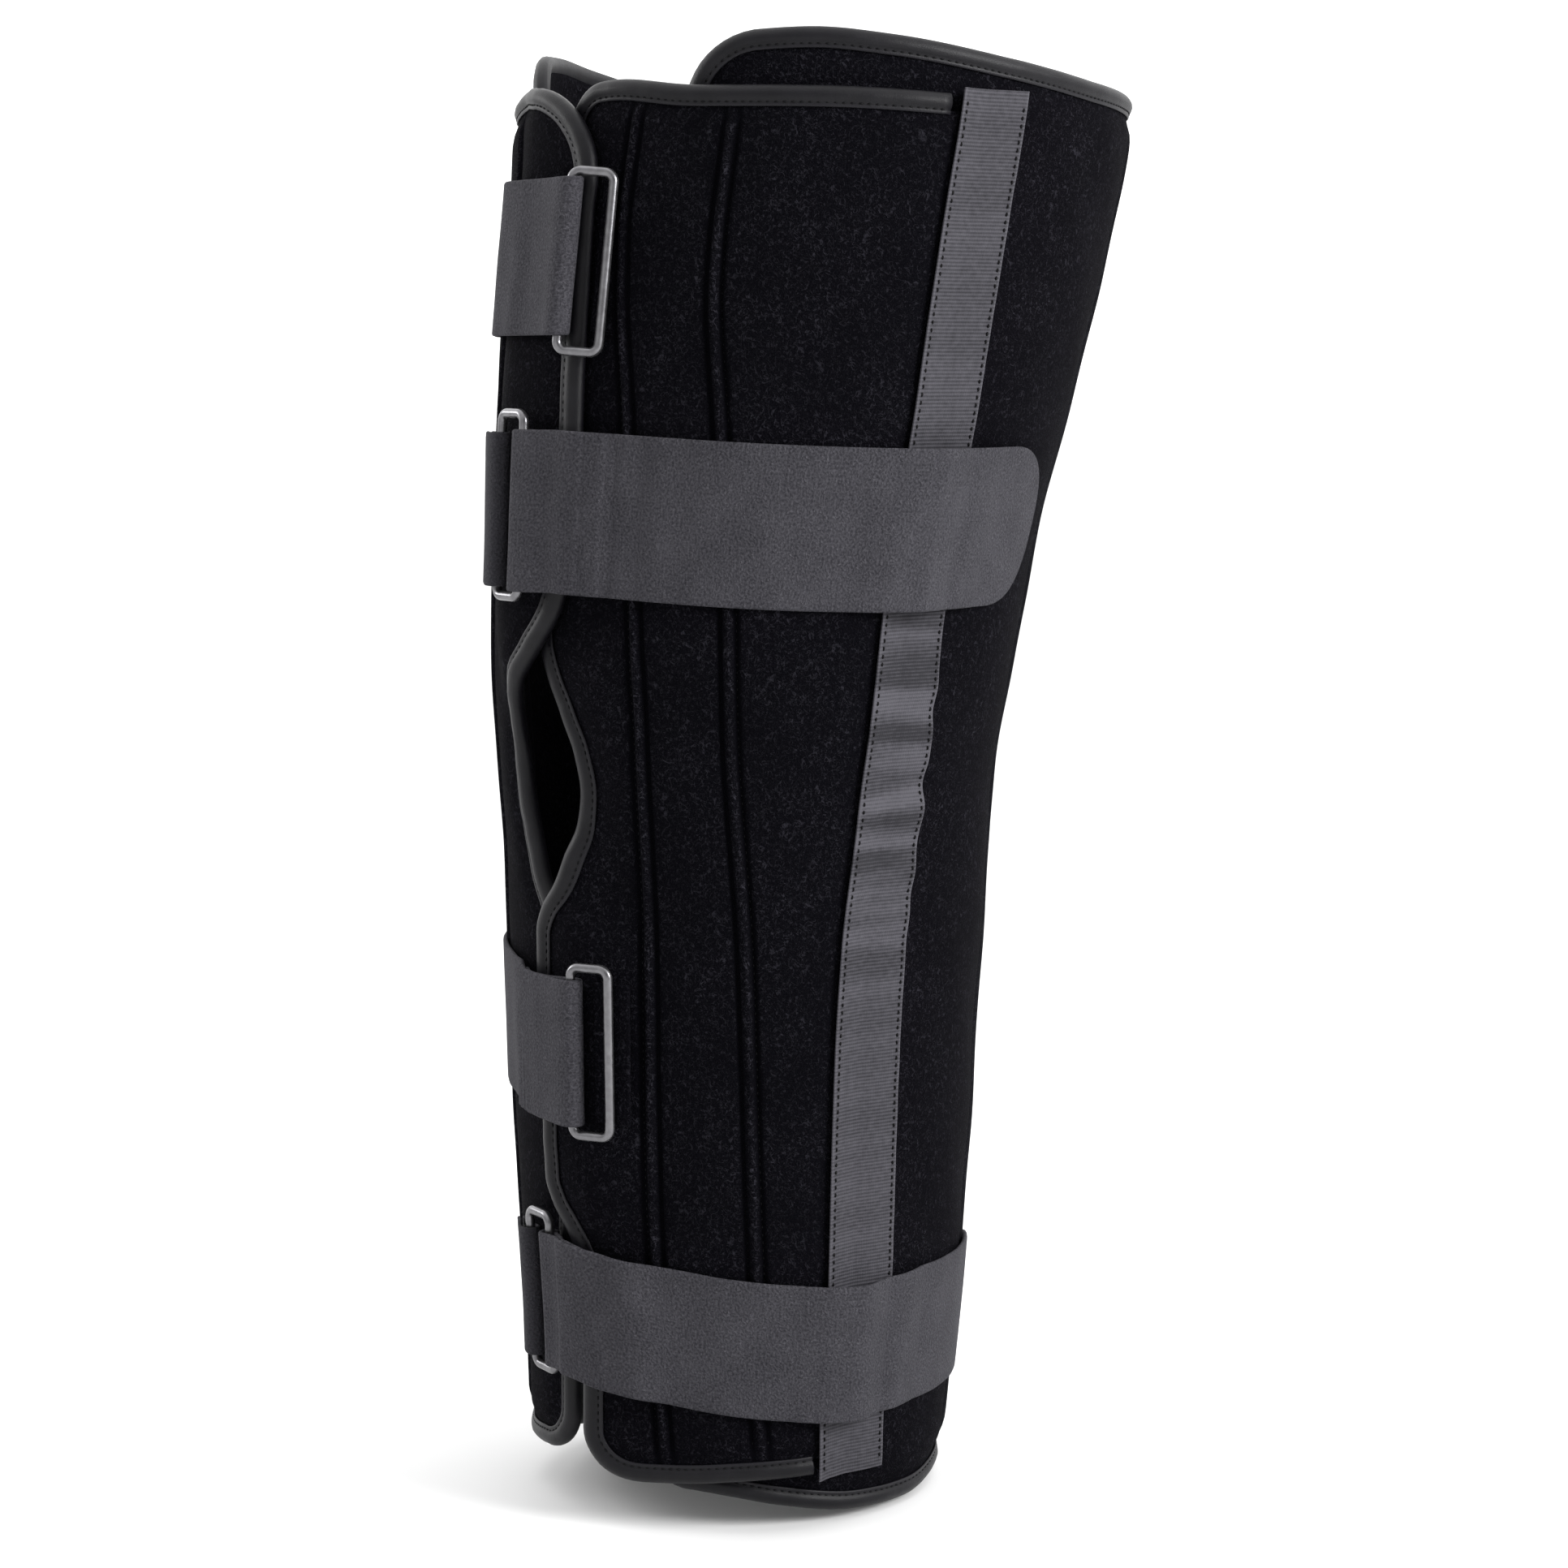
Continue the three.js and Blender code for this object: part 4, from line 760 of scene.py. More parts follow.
@dataclass
class Panel:
    """A padded panel: its outline from the front bottom corner round, and a grid of cells inside it."""

    outline: np.ndarray
    across: int
    up: int
    column: Callable[..., np.ndarray]
    place: Callable[[np.ndarray, np.ndarray], np.ndarray]
    ridges: Callable[[np.ndarray], np.ndarray]
    seed: int
    limit: Callable[[np.ndarray], np.ndarray] | None = None

    def rim(self, i: np.ndarray, k: int) -> np.ndarray:
        """Args: i, k, a cell corner on the grid's edge. Returns: its number in the outline."""
        i = np.asarray(i)
        inner = np.where(i == self.across, self.across + k, 2 * self.across + 2 * self.up - k)
        if k == 0:
            return i
        return self.across + self.up + self.across - i if k == self.up else inner

    def grid(self) -> np.ndarray:
        """Returns: the pattern points of all cell corners, inside the binding's lip."""
        rim = inset(self.outline, BINDING_WIDTH - UNDER_LIP)
        i = np.arange(self.across + 1)
        low, high = rim[self.rim(i, 0)], rim[self.rim(i, self.up)]
        first, last = (np.array([rim[self.rim(side, k)] for k in range(self.up + 1)])
                       for side in (0, self.across))
        off_low = low[:, 0] - self.column(i, first[0, 0], last[0, 0], low[:, 1])
        off_high = high[:, 0] - self.column(i, first[-1, 0], last[-1, 0], high[:, 1])
        points = np.empty((self.up + 1, self.across + 1, 2))
        for k in range(self.up + 1):
            t = (first[k, 1] - first[0, 1]) / (first[-1, 1] - first[0, 1])
            y = mix(low[:, 1], high[:, 1], t)
            x = self.column(i, first[k, 0], last[k, 0], y) + mix(off_low, off_high, t)
            points[k] = np.stack([x, y], 1)
        points[0], points[-1], points[:, 0], points[:, -1] = low, high, first, last
        return points

    def from_edge(self, points: np.ndarray) -> np.ndarray:
        """Args: points on the pattern. Returns: how far each is from the outline, in mm."""
        flat = points.reshape(-1, 2)
        start, step = self.outline, np.roll(self.outline, -1, 0) - self.outline
        nearest = np.full(len(flat), np.inf)
        for a, d in zip(start[::2], (step + np.roll(step, -1, 0))[::2]):
            t = np.clip(((flat - a) @ d) / (d @ d), 0, 1)
            nearest = np.minimum(nearest, np.linalg.norm(flat - a - t[:, None] * d, axis=1))
        return nearest.reshape(points.shape[:-1])

    def level(self, points: np.ndarray) -> np.ndarray:
        """Args: points on the pattern. Returns: the outer face's level over the inner one, in mm."""
        edge = self.from_edge(points)
        soft = SOFT_WAVE * ripple(points[..., 0], points[..., 1], self.seed, *SOFT_WAVES)
        inside = ease((edge - BINDING_WIDTH) / PUFF_REACH)
        pressed = PRESSED * (1 - ease((edge - BINDING_WIDTH + PRESSED_FROM) / PRESSED_REACH))
        level = THICKNESS - pressed + (soft + self.ridges(points)) * inside + PUFF * inside
        return level if self.limit is None else np.minimum(level, self.limit(points))

    def painted_light(self, points: np.ndarray) -> np.ndarray:
        """Args: points on the pattern. Returns: the painted light there: painted shade in a seam's groove, up
        to 1 where it lies deep, and painted highlight on a ridge, down to -1 where it stands up."""
        relief = self.ridges(points)
        return np.clip(-SEAM_SHADE_GAIN * relief - SEAM_SHADE_FROM, 0, 1) - np.clip(relief, 0, 1)

    def fill(self, piece: Piece) -> None:
        """Args: piece that takes the panel's body."""
        points = self.grid()
        outer = self.place(points, self.level(points))
        inner = self.place(points, np.full(points.shape[:-1], LINING))
        piece.slab(outer, inner, points, self.painted_light(points))

    def bind(self, piece: Piece, first: int | None = None, last: int = 0) -> float:
        """Folds the binding round the edge, and sews it.

        Args: piece that takes it; first and last, its ends as numbers in the outline, or none for all
            round.
        Returns: the binding's length in mm.
        """
        count = len(self.outline)
        numbers = np.arange(count)
        if first is not None:
            numbers = (first + np.arange((last - first) % count + 1)) % count
        top, half = THICKNESS + PUFF, THICKNESS / 2
        # The folded binding's section, as mm in from the edge and the level
        section = np.array([
            (6.5, top - 1.15), (6.3, top - 0.75), (5.7, top - 0.72), (5.1, top - 0.95), (4.4, top - 0.25),
            (3.2, top + 0.05), (2.0, top - 0.15), (0.95, top - 0.85), (0.25, half + 1.3), (0.0, half),
            (0.25, half - 1.3), (0.95, 0.85), (2.0, 0.15), (3.4, 0.05), (5.0, 0.4), (6.5, 0.7),
            (6.5, 1.2), (4.5, 1.4), (BINDING_FLOOR, half - 0.6), (BINDING_FLOOR, half + 0.6),
            (4.5, top - 1.6),
        ])
        rims = np.stack([inset(self.outline, depth)[numbers] for depth, _ in section], 1)
        along = run_along(self.outline[numbers])
        pucker = BINDING_PUCKER * ripple(along, along * 0.0, self.seed + BINDING_SEED, *BINDING_WAVES)
        levels = np.broadcast_to(section[:, 1], rims.shape[:2]) + pucker[:, None] * (section[:, 1] > half)
        places = np.stack(np.broadcast_arrays(section[None, :, 0], along[:, None]), -1)
        piece.sweep(self.place(rims, levels), places, closed=first is None)
        if first is None:
            numbers = np.append(numbers, numbers[0])
        sewn = inset(self.outline, SEWN_INSET)[numbers]
        self.sew(piece, sewn, np.full(len(sewn), top - SEWN_DEPTH))
        return float(along[-1])

    def sew(self, piece: Piece, seam: np.ndarray, level: np.ndarray | None = None) -> None:
        """Args: piece; seam (n, 2) on the pattern; level of the thread, or none to sink it in the cloth."""
        if level is None:
            level = self.level(seam) - THREAD_SINK
        on = self.place(seam, level)
        piece.stitches(on, (self.place(seam, level + 1) - on) / MM, slot=1)


class SidePanel:
    """One side panel with its two stay channels, its binding and its hook tape."""

    CORNERS = {Side.NEAR: (14.0, 16.0), Side.FAR: (30.0, 17.0)}
    CELLS = (12, 12, 8, 12, 26)
    EDGE_TURNS = (17.8, 76.0)
    BINDING_END = 7.4
    ROW = 2.2

    def __init__(self, side: Side) -> None:
        self.side = side
        self.name = side.name.lower()
        self.ends = Smooth(SIDE_ENDS, 1), Smooth(SIDE_ENDS, 2)
        self.panel = Panel(self.outline(), sum(self.CELLS), self.up, self.column, self.place, self.ridges,
                           SIDE_SEED + side.value, self.thinned)

    def place(self, points: np.ndarray, level: np.ndarray) -> np.ndarray:
        """Args: points on the pattern; level over the inner face. Returns: points in metres."""
        turn = self.side.value * turn_of(points)
        return on_leg(turn, points[..., 1], self.side.lift(turn, points[..., 1]) + level)

    def rear(self, height: np.ndarray) -> np.ndarray:
        """Args: height. Returns: the rear edge's turn."""
        return tape_front(height / PANEL_HEIGHT) + (TAPE_LAP + REAR_LAP) / per_degree(height)

    def column(self, i: np.ndarray, low: float, high: np.ndarray | float, height: np.ndarray) -> np.ndarray:
        """Args: i, column numbers; low and high, the row's two ends; height.
        Returns: places round the leg."""
        one, two = (seam(height / PANEL_HEIGHT) * per_degree(height) for seam in (seam_one, seam_two))
        low, high = np.broadcast_to(low, one.shape), np.broadcast_to(high, one.shape)
        stops = np.stack([low, one - RIB_ROOM, one + RIB_ROOM, two - RIB_ROOM, two + RIB_ROOM, high])
        counts = np.concatenate([[0], np.cumsum(self.CELLS)])
        n = np.clip(np.searchsorted(counts, i, side="left") - 1, 0, len(self.CELLS) - 1)
        start, finish = (np.take_along_axis(stops, (n + more)[None], 0)[0] for more in (0, 1))
        return mix(start, finish, (i - counts[n]) / (counts[n + 1] - counts[n]))

    def thinned(self, points: np.ndarray) -> np.ndarray:
        """Args: points on the pattern. Returns: the most that the panel may rise near its rear edge."""
        away = self.rear(points[..., 1]) * per_degree(points[..., 1]) - points[..., 0]
        slope = (THICKNESS - REAR_EDGE) / (BINDING_WIDTH - BINDING_FLOOR)
        return REAR_EDGE - THIN_ROOM + slope * np.maximum(0.0, away - BINDING_FLOOR)

    def ridges(self, points: np.ndarray) -> np.ndarray:
        """Args: points on the pattern. Returns: the relief of the stay channels' seams and of the pressed
        lines.
        """
        total = np.zeros(points.shape[:-1])
        scale = per_degree(points[..., 1])
        for seam in (seam_one, seam_two):
            away = np.abs(points[..., 0] - seam(points[..., 1] / PANEL_HEIGHT) * scale)
            total += raised(away, RIDGE) - raised(away - GROOVE_OFF, GROOVE) - raised(away, DIP)
        if self.side is Side.NEAR:
            for mark in MARKS:
                total += mark.relief(turn_of(points), points[..., 1])
        return total

    def edge(self, arc: np.ndarray, table: Smooth) -> np.ndarray:
        """Args: arc of the corner, towards this edge; table of the edge's heights. Returns: its points."""
        start, across = arc[-1], sum(self.CELLS)
        points = list(arc[CORNER_STEPS:-1])
        for i in range(CORNER_STEPS, across + 1):
            height = table(mix(*self.EDGE_TURNS, i / across)) * PANEL_HEIGHT
            share = (i - CORNER_STEPS) / (self.CELLS[0] - CORNER_STEPS)
            width = per_degree(height)
            number = np.array([max(i, self.CELLS[0])])
            x = self.column(number, start[0], self.rear(height) * width, np.array([height]))[0]
            x = mix(start[0], x, min(1.0, share))
            points.append(pattern(x / width, table(x / width) * PANEL_HEIGHT))
        return np.array(points)

    def outline(self) -> np.ndarray:
        """Returns: the outline, along the bottom, up the rear, back along the top and down the front."""
        upwards, outwards = np.array([0.0, 1.0]), np.array([-1.0, 0.0])
        top, bottom = self.ends
        low_rise, high_rise = FRONT[0][0], FRONT[-1][0]
        low_turn, high_turn = self.side.front(low_rise), self.side.front(high_rise)
        high_radius, low_radius = self.CORNERS[self.side]
        high_arc = corner_arc(corner_point(high_turn, top, high_radius), high_radius, outwards, upwards)
        low_arc = corner_arc(corner_point(low_turn, bottom, low_radius), low_radius, -upwards, outwards)
        steps = round((high_rise - low_rise) * PANEL_HEIGHT / self.ROW)
        rises = np.linspace(low_rise, high_rise, steps)
        rows = pattern(self.side.front(rises), rises * PANEL_HEIGHT)
        front = np.concatenate([low_arc[CORNER_STEPS:], rows, high_arc[:CORNER_STEPS + 1]])
        low, high = self.edge(low_arc[::-1], bottom), self.edge(high_arc, top)
        self.up = len(front) - 1
        share = (front[:, 1] - front[0, 1]) / (front[-1, 1] - front[0, 1])
        height = mix(low[-1, 1], high[-1, 1], share)
        rear = pattern(self.rear(height), height)
        return np.concatenate([low[:-1], rear[:-1], high[::-1][:-1], front[::-1][:-1]])

    def build(self) -> None:
        """Makes the panel, its binding and its tape, and hands them to the frame."""
        panel = Piece(f"{self.name}_side_panel_look", LOOP_CLOTH, THREAD)
        self.panel.fill(panel)
        heights = np.linspace(*SEAM_ENDS, SEAM_ROWS) * PANEL_HEIGHT
        for seam in (seam_one, seam_two):
            for off in (-GROOVE_OFF, GROOVE_OFF):
                middle = pattern(seam(heights / PANEL_HEIGHT), heights)
                self.panel.sew(panel, middle + np.array([off, 0.0]))
        show(panel.build(), f"{self.name}_side_panel")
        binding = Piece(f"{self.name}_side_binding_look", BINDING, THREAD)
        across = sum(self.CELLS)
        top, bottom = (self.panel.outline[self.panel.rim(np.arange(across + 1), k)] for k in (self.up, 0))
        high, low = (self.binding_end(row) for row in (top, bottom))
        length = self.panel.bind(binding, int(self.panel.rim(high, self.up)), low)
        show(binding.build(), f"{self.name}_side_binding")
        self.tape()

    def binding_end(self, row: np.ndarray) -> int:
        """Args: row, an edge of the outline. Returns: the number of its last point before the tape."""
        away = self.rear(row[:, 1]) * per_degree(row[:, 1]) - row[:, 0]
        return int((away > self.BINDING_END).sum()) - 1

    def tape(self) -> None:
        """The hook tape, sewn on the rear margin and lying on the back panel behind it."""
        piece = Piece(f"{self.name}_hook_tape_look", TAPE, THREAD)
        high = SIDE_ENDS[-1][1] * PANEL_HEIGHT + TAPE_OVERHANG
        low = SIDE_ENDS[-1][2] * PANEL_HEIGHT - TAPE_OVERHANG
        rows = round((high - low) / TAPE_RIB * TAPE_ROWS_A_RIB)
        height = np.linspace(low, high, rows + 1)
        edge = np.array(TAPE_EDGE)
        middle = np.linspace(TAPE_EDGE_REACH, TAPE_WIDTH - TAPE_EDGE_REACH, TAPE_CELLS)
        at = np.concatenate([edge, middle, TAPE_WIDTH - edge[::-1]])
        from_edge = np.minimum(at, TAPE_WIDTH - at)
        thick = TAPE_LOOK * mix(TAPE_EDGE_SHARE, 1.0, np.minimum(1.0, from_edge / TAPE_ROUND) ** 0.5)
        inside = ease((from_edge - TAPE_MARGIN) / TAPE_MARGIN)
        ribs = TAPE_RIB_HEIGHT * np.sin(2 * math.pi * (height - low) / TAPE_RIB)[:, None] * inside
        section = np.concatenate([at, at[::-3]])
        rest, wave = self.tape_level(section[None], height[:, None])
        outer = rest[:, :len(at)] + thick + ribs
        levels = np.concatenate([outer, rest[:, len(at):]], 1) + wave
        start = tape_front(height / PANEL_HEIGHT)[:, None]
        turn = self.side.value * (start + section / per_degree(height[:, None], ON_BACK))
        along = np.broadcast_to(height[:, None] - low, turn.shape)
        places = np.stack([np.broadcast_to(section, turn.shape), along], -1)
        piece.sweep(on_leg(turn, np.broadcast_to(height[:, None], turn.shape), levels), places)
        coarse = np.linspace(low + TAPE_SEAM_END, high - TAPE_SEAM_END, TAPE_SEAM_ROWS)
        for off in (TAPE_SEAM, TAPE_WIDTH - TAPE_SEAM):
            rest, wave = self.tape_level(np.full((len(coarse), 1), off), coarse[:, None])
            lift = (rest + wave)[:, 0] + TAPE_LOOK + THREAD_RISE
            turn = self.side.value * (tape_front(coarse / PANEL_HEIGHT) + off / per_degree(coarse, ON_BACK))
            on = on_leg(turn, coarse, lift)
            out = (on_leg(turn, coarse, lift + 1) - on) / MM
            piece.stitches(on, out, 1, TAPE_PITCH, TAPE_THREAD)
        show(piece.build(), f"{self.name}_hook_tape")

    def tape_level(self, at: np.ndarray, height: np.ndarray) -> tuple[np.ndarray, np.ndarray]:
        """Args: at, across the tape; height. Returns: the tape's inner level, and its soft waves."""
        slope = (THICKNESS - REAR_EDGE) / (BINDING_WIDTH - BINDING_FLOOR)
        on_edge = ON_BACK + REAR_EDGE + LAYER_GAP
        stops = (0, TAPE_LAP, TAPE_LAP + TAPE_BEND, TAPE_LAP + REAR_LAP + TAPE_BEND + 2, TAPE_WIDTH)
        sprung = ON_BACK + TAPE_SPRING
        levels = (on_edge + slope * TAPE_LAP, on_edge + THIN_ROOM, on_edge, sprung, sprung)
        rest = np.interp(at, stops, levels) + 0.0 * height
        knee = raised(height - KNEE_HEIGHT, KNEE_FOLDS) + TAPE_CALM
        folds = ripple(at * TAPE_WAVE_ACROSS, height, TAPE_SEED, *TAPE_WAVES) + TAPE_WAVE_LIFT
        wave = folds * knee * TAPE_WAVE * ease(at / TAPE_CALM_EDGE)
        return rest, np.maximum(wave, TAPE_WAVE_LEAST)


class BackPanel:
    """The back panel, round behind the leg from one front edge to the other."""

    ACROSS = 150
    UP = 160
    CORNERS = (24.0, 15.0)
    SEED = 11

    def __init__(self) -> None:
        self.panel = Panel(self.outline(), self.ACROSS, self.UP, self.column, self.place, self.ridges,
                           self.SEED)

    def place(self, points: np.ndarray, level: np.ndarray) -> np.ndarray:
        """Args: points on the pattern; level over the inner face. Returns: points in metres."""
        return on_leg(turn_of(points), points[..., 1], level)

    def column(self, i: np.ndarray, low: float, high: float, height: np.ndarray) -> np.ndarray:
        """Args: i, column numbers; low and high, the row's two ends; height.
        Returns: places round the leg."""
        return mix(low, high, i / self.ACROSS) + 0.0 * height

    def ridges(self, points: np.ndarray) -> np.ndarray:
        """Args: points on the pattern. Returns: the relief of the rear stay channels' seams."""
        turn = turn_of(points)
        total = np.zeros(turn.shape)
        for seam in REAR_SEAMS:
            away = np.abs(turn - seam) * per_degree(points[..., 1])
            total += raised(away, REAR_RIDGE) - raised(away - REAR_GROOVE_OFF, REAR_GROOVE)
        return total

    def outline(self) -> np.ndarray:
        """Returns: the outline, along the bottom, up the far front edge, back along the top, and down."""
        top, bottom = Smooth(BACK_ENDS, 1), Smooth(BACK_ENDS, 2)
        upwards, outwards = np.array([0.0, 1.0]), np.array([-1.0, 0.0])
        corners = [corner_point(BACK_FRONT, table, size) for table, size in zip((top, bottom), self.CORNERS)]
        high_arc = corner_arc(corners[0], self.CORNERS[0], outwards, upwards)
        low_arc = corner_arc(corners[1], self.CORNERS[1], -upwards, outwards)

        def mirror(points: np.ndarray) -> np.ndarray:
            return np.stack([360 * per_degree(points[:, 1]) - points[:, 0], points[:, 1]], 1)

        def edge(arc: np.ndarray, table: Smooth) -> np.ndarray:
            turn = np.linspace(turn_of(arc[-1]), 180, self.ACROSS // 2 - CORNER_STEPS + 1)[1:]
            near = np.concatenate([arc[CORNER_STEPS:], pattern(turn, table(turn) * PANEL_HEIGHT)])
            return np.concatenate([near, mirror(near[::-1][1:])])

        high, low = edge(high_arc, top), edge(low_arc[::-1], bottom)
        rows = self.UP - 2 * CORNER_STEPS
        height = np.linspace(low_arc[-1, 1], high_arc[0, 1], rows + 1)[1:-1]
        front = np.concatenate([low_arc[CORNER_STEPS:], pattern(BACK_FRONT, height),
                                high_arc[:CORNER_STEPS + 1]])
        return np.concatenate([low[:-1], mirror(front)[:-1], high[::-1][:-1], front[::-1][:-1]])

    def build(self) -> None:
        """Makes the panel and its binding, and hands them to the frame."""
        panel = Piece("back_panel_look", LOOP_CLOTH, THREAD)
        self.panel.fill(panel)
        heights = np.linspace(*REAR_SEAM_ENDS, SEAM_ROWS) * PANEL_HEIGHT
        for seam in REAR_SEAMS:
            for off in (-REAR_GROOVE_OFF, REAR_GROOVE_OFF):
                self.panel.sew(panel, pattern(seam, heights) + np.array([off, 0.0]))
        show(panel.build(), "back_panel")
        binding = Piece("back_binding_look", BINDING, THREAD)
        length = self.panel.bind(binding)
        show(binding.build(), "back_binding")


@dataclass(frozen=True)
class Band:
    """A flat cloth band: stations along it with their lift, half width and middle height, its thickness,
    and the turn that belongs to a station."""

    at: np.ndarray
    lift: np.ndarray
    half: np.ndarray
    middle: np.ndarray
    thickness: float
    to_turn: Callable[[np.ndarray], np.ndarray]

    def fill(self, piece: Piece, wave: Callable[[np.ndarray, np.ndarray], np.ndarray]) -> None:
        """Args: piece that takes the band; wave, its soft waves by length and share across."""
        angle = np.linspace(0, math.pi, 2 * BAND_ROUND + 1)[1:-1]
        flat = np.linspace(1, -1, BAND_CELLS + 1)
        edge = self.thickness * 0.5
        across = np.concatenate([flat, np.full(len(angle), -1.0), -flat, np.full(len(angle), 1.0)])
        outer = np.concatenate([flat * 0, -np.sin(angle), flat * 0, np.sin(angle)]) * edge
        rise = np.concatenate([flat * 0 + 1, np.cos(angle), flat * 0 - 1, -np.cos(angle)]) * edge
        ahead = np.stack([np.gradient(self.at), np.gradient(self.lift)], 1)
        ahead /= np.linalg.norm(ahead, axis=1)[:, None]
        run = np.cumsum(np.hypot(np.gradient(self.at), np.gradient(self.lift)))
        soft = wave(run[:, None], across[None])
        off = rise[None] + soft
        at = self.at[:, None] - ahead[:, 1:] * off
        lift = self.lift[:, None] + ahead[:, :1] * off
        width = self.half[:, None] - edge
        height = self.middle[:, None] + across * width + outer
        places = np.stack(np.broadcast_arrays(across * width + outer, run[:, None] + 0 * height), -1)
        piece.sweep(on_leg(self.to_turn(at), height, lift), places)


@dataclass(frozen=True)
class Fastening:
    """A strap folded round a ring's bar, the ring, and the tab behind it.

    The strap's rise and droop are shares of the panel height; bar and end are turns; way is the side round
    which it leaves the ring; offset is how far the ring hangs above the strap's middle.
    """

    number: int
    rise: float
    droop: float
    width: float
    bar: float
    end: float
    way: int
    offset: float

    @property
    def height(self) -> float:
        """Returns: the height of the strap's middle at the ring."""
        return self.rise * PANEL_HEIGHT

    @property
    def under(self) -> float:
        """Returns: the level of the strap's folded end under the bar."""
        return float(self.cover(self.bar)) + STRAP_GAP

    @property
    def bar_lift(self) -> float:
        """Returns: the lift of the bar that the strap is folded round."""
        return self.under + STRAP_THICKNESS + FOLD_PLAY + WIRE / 2

    @property
    def scale(self) -> float:
        """Returns: mm for one degree at the bar."""
        return float(per_degree(self.height, self.bar_lift))

    def middle(self, turn: np.ndarray | float) -> np.ndarray:
        """Args: turn. Returns: the height of the strap's middle, which drops towards the back."""
        share = np.clip((np.abs(turn - self.bar) - DROOP_FROM) / DROOP_TURN, 0, 1)
        return self.height - self.droop * PANEL_HEIGHT * np.sin(share * math.pi / 2)

    def cover(self, turn: np.ndarray | float) -> np.ndarray:
        """Args: turn. Returns: the highest cloth under the strap's whole width there."""
        turn = np.asarray(turn, float)[..., None, None]
        beside = np.linspace(-COVER_TURN, COVER_TURN, COVER_POINTS)[:, None]
        across = np.linspace(-0.5, 0.5, COVER_POINTS)[None]
        top = cloth_top(turn + beside, self.middle(turn) + across * self.width + 0 * beside)
        return top.max(axis=(-2, -1))

    def level(self, turn: np.ndarray) -> np.ndarray:
        """Args: turn. Returns: the strap's rest level, with the steps of the cloth under it smoothed."""
        places = np.arange(-SMOOTH_TURN, SMOOTH_TURN + 1)
        return self.cover(np.asarray(turn)[..., None] + places).mean(-1) + STRAP_GAP

    def settle(self, under: float, turn: np.ndarray, at: np.ndarray) -> np.ndarray:
        """Args: under, the level under the bar; turn; at, mm past it. Returns: the folded end's level."""
        rest = self.level(turn)
        return np.maximum(rest, mix(under, rest, ease(at / FOLD_SLOPE)))

    def bar_at(self, turn: float, lift: float) -> tuple[np.ndarray, np.ndarray]:
        """Args: turn and lift of a bar. Returns: its middle and its direction, in metres."""
        high = on_leg(turn, self.height + self.width / 2, lift)
        low = on_leg(turn, self.height - self.width / 2, lift)
        return (high + low) / 2, (high - low) / np.linalg.norm(high - low)

    def lift_over(self, turn: float) -> float:
        """Args: turn. Returns: a bar's lift over the tab that lies under it or is folded round it."""
        return float(self.cover(turn)) + STRAP_GAP + TAB_THICKNESS + FOLD_PLAY + WIRE / 2

    def other_bar(self) -> float:
        """Returns: the turn at which the ring's other bar comes down."""
        held, turn = self.bar_at(self.bar, self.bar_lift)[0], self.bar
        for _ in range(RING_ROUNDS):
            reach = np.linalg.norm(held - self.bar_at(turn, self.lift_over(turn))[0]) / MM
            turn -= self.way * (RING_WIDTH - WIRE - reach) / (2 * self.scale)
        return float(turn)

    def turn_at(self, at: np.ndarray) -> np.ndarray:
        """Args: at, mm past the bar along the strap's way. Returns: the turn."""
        return self.bar + self.way * at / self.scale

    def build(self) -> None:
        """Makes the strap, the ring and the tab, and hands them to the frame."""
        self.strap()
        self.ring()
        self.tab()

    def strap(self) -> None:
        """The strap, from its folded end under the bar, round the bar, and round the leg to its round end."""
        radius = WIRE / 2 + FOLD_PLAY + STRAP_THICKNESS / 2
        length = abs(self.end - self.bar) * self.scale
        straight = length - STRAP_END

        def resting(at: np.ndarray) -> np.ndarray:
            return self.settle(self.under, self.turn_at(at), at) + STRAP_THICKNESS / 2

        back = np.linspace(STRAP_RETURN, 0.5, BACK_STEPS)
        angle = np.radians(np.linspace(-90, -270, FOLD_STEPS))
        fine = STRAP_RETURN + FINE_REACH
        ahead = np.concatenate([np.linspace(0.7, fine, FINE_STEPS), np.arange(fine + 2, straight, STRAP_ROW)])
        turned = np.radians(np.linspace(0, END_TURN, END_STEPS + 1)[1:])
        ahead = np.concatenate([ahead, straight + STRAP_END * np.sin(turned)])
        doubled = (STRAP_THICKNESS + LAYER_PLAY) * ease((STRAP_RETURN + RETURN_RAMP - ahead) / RETURN_RAMP)
        rest = resting(ahead) + doubled
        above = np.maximum(rest, mix(self.bar_lift + radius, rest, ease(ahead / FOLD_SLOPE)))
        narrow = np.concatenate([np.ones(len(ahead) - END_STEPS), np.cos(turned) ** END_POWER])
        at = np.concatenate([back, radius * np.cos(angle), ahead])
        lift = np.concatenate([resting(back), self.bar_lift + radius * np.sin(angle), above])
        widths = [np.linspace(RETURN_NARROW, 1.0, len(back)), np.ones(FOLD_STEPS), narrow]
        half = np.maximum(self.width / 2 * np.concatenate(widths), STRAP_THICKNESS)
        band = Band(at, lift, half, self.middle(self.turn_at(at)), STRAP_THICKNESS, self.turn_at)
        piece = Piece(f"strap_{self.number}_look", WEBBING)

        def wave(run: np.ndarray, across: np.ndarray) -> np.ndarray:
            size = STRAP_CALM + raised(run - STRAP_FOLDS_AT, STRAP_FOLDS)
            folds = size * ripple(run, across * 3.0, STRAP_SEED + self.number, *STRAP_WAVES)
            soft = STRAP_SOFT * ripple(run, across * 22, SOFT_SEED, *STRAP_SOFT_WAVES)
            return folds * ease((run - STRAP_WAVES_FROM) / STRAP_WAVES_RAMP) + soft

        band.fill(piece, wave)
        show(piece.build(), f"strap_{self.number}")

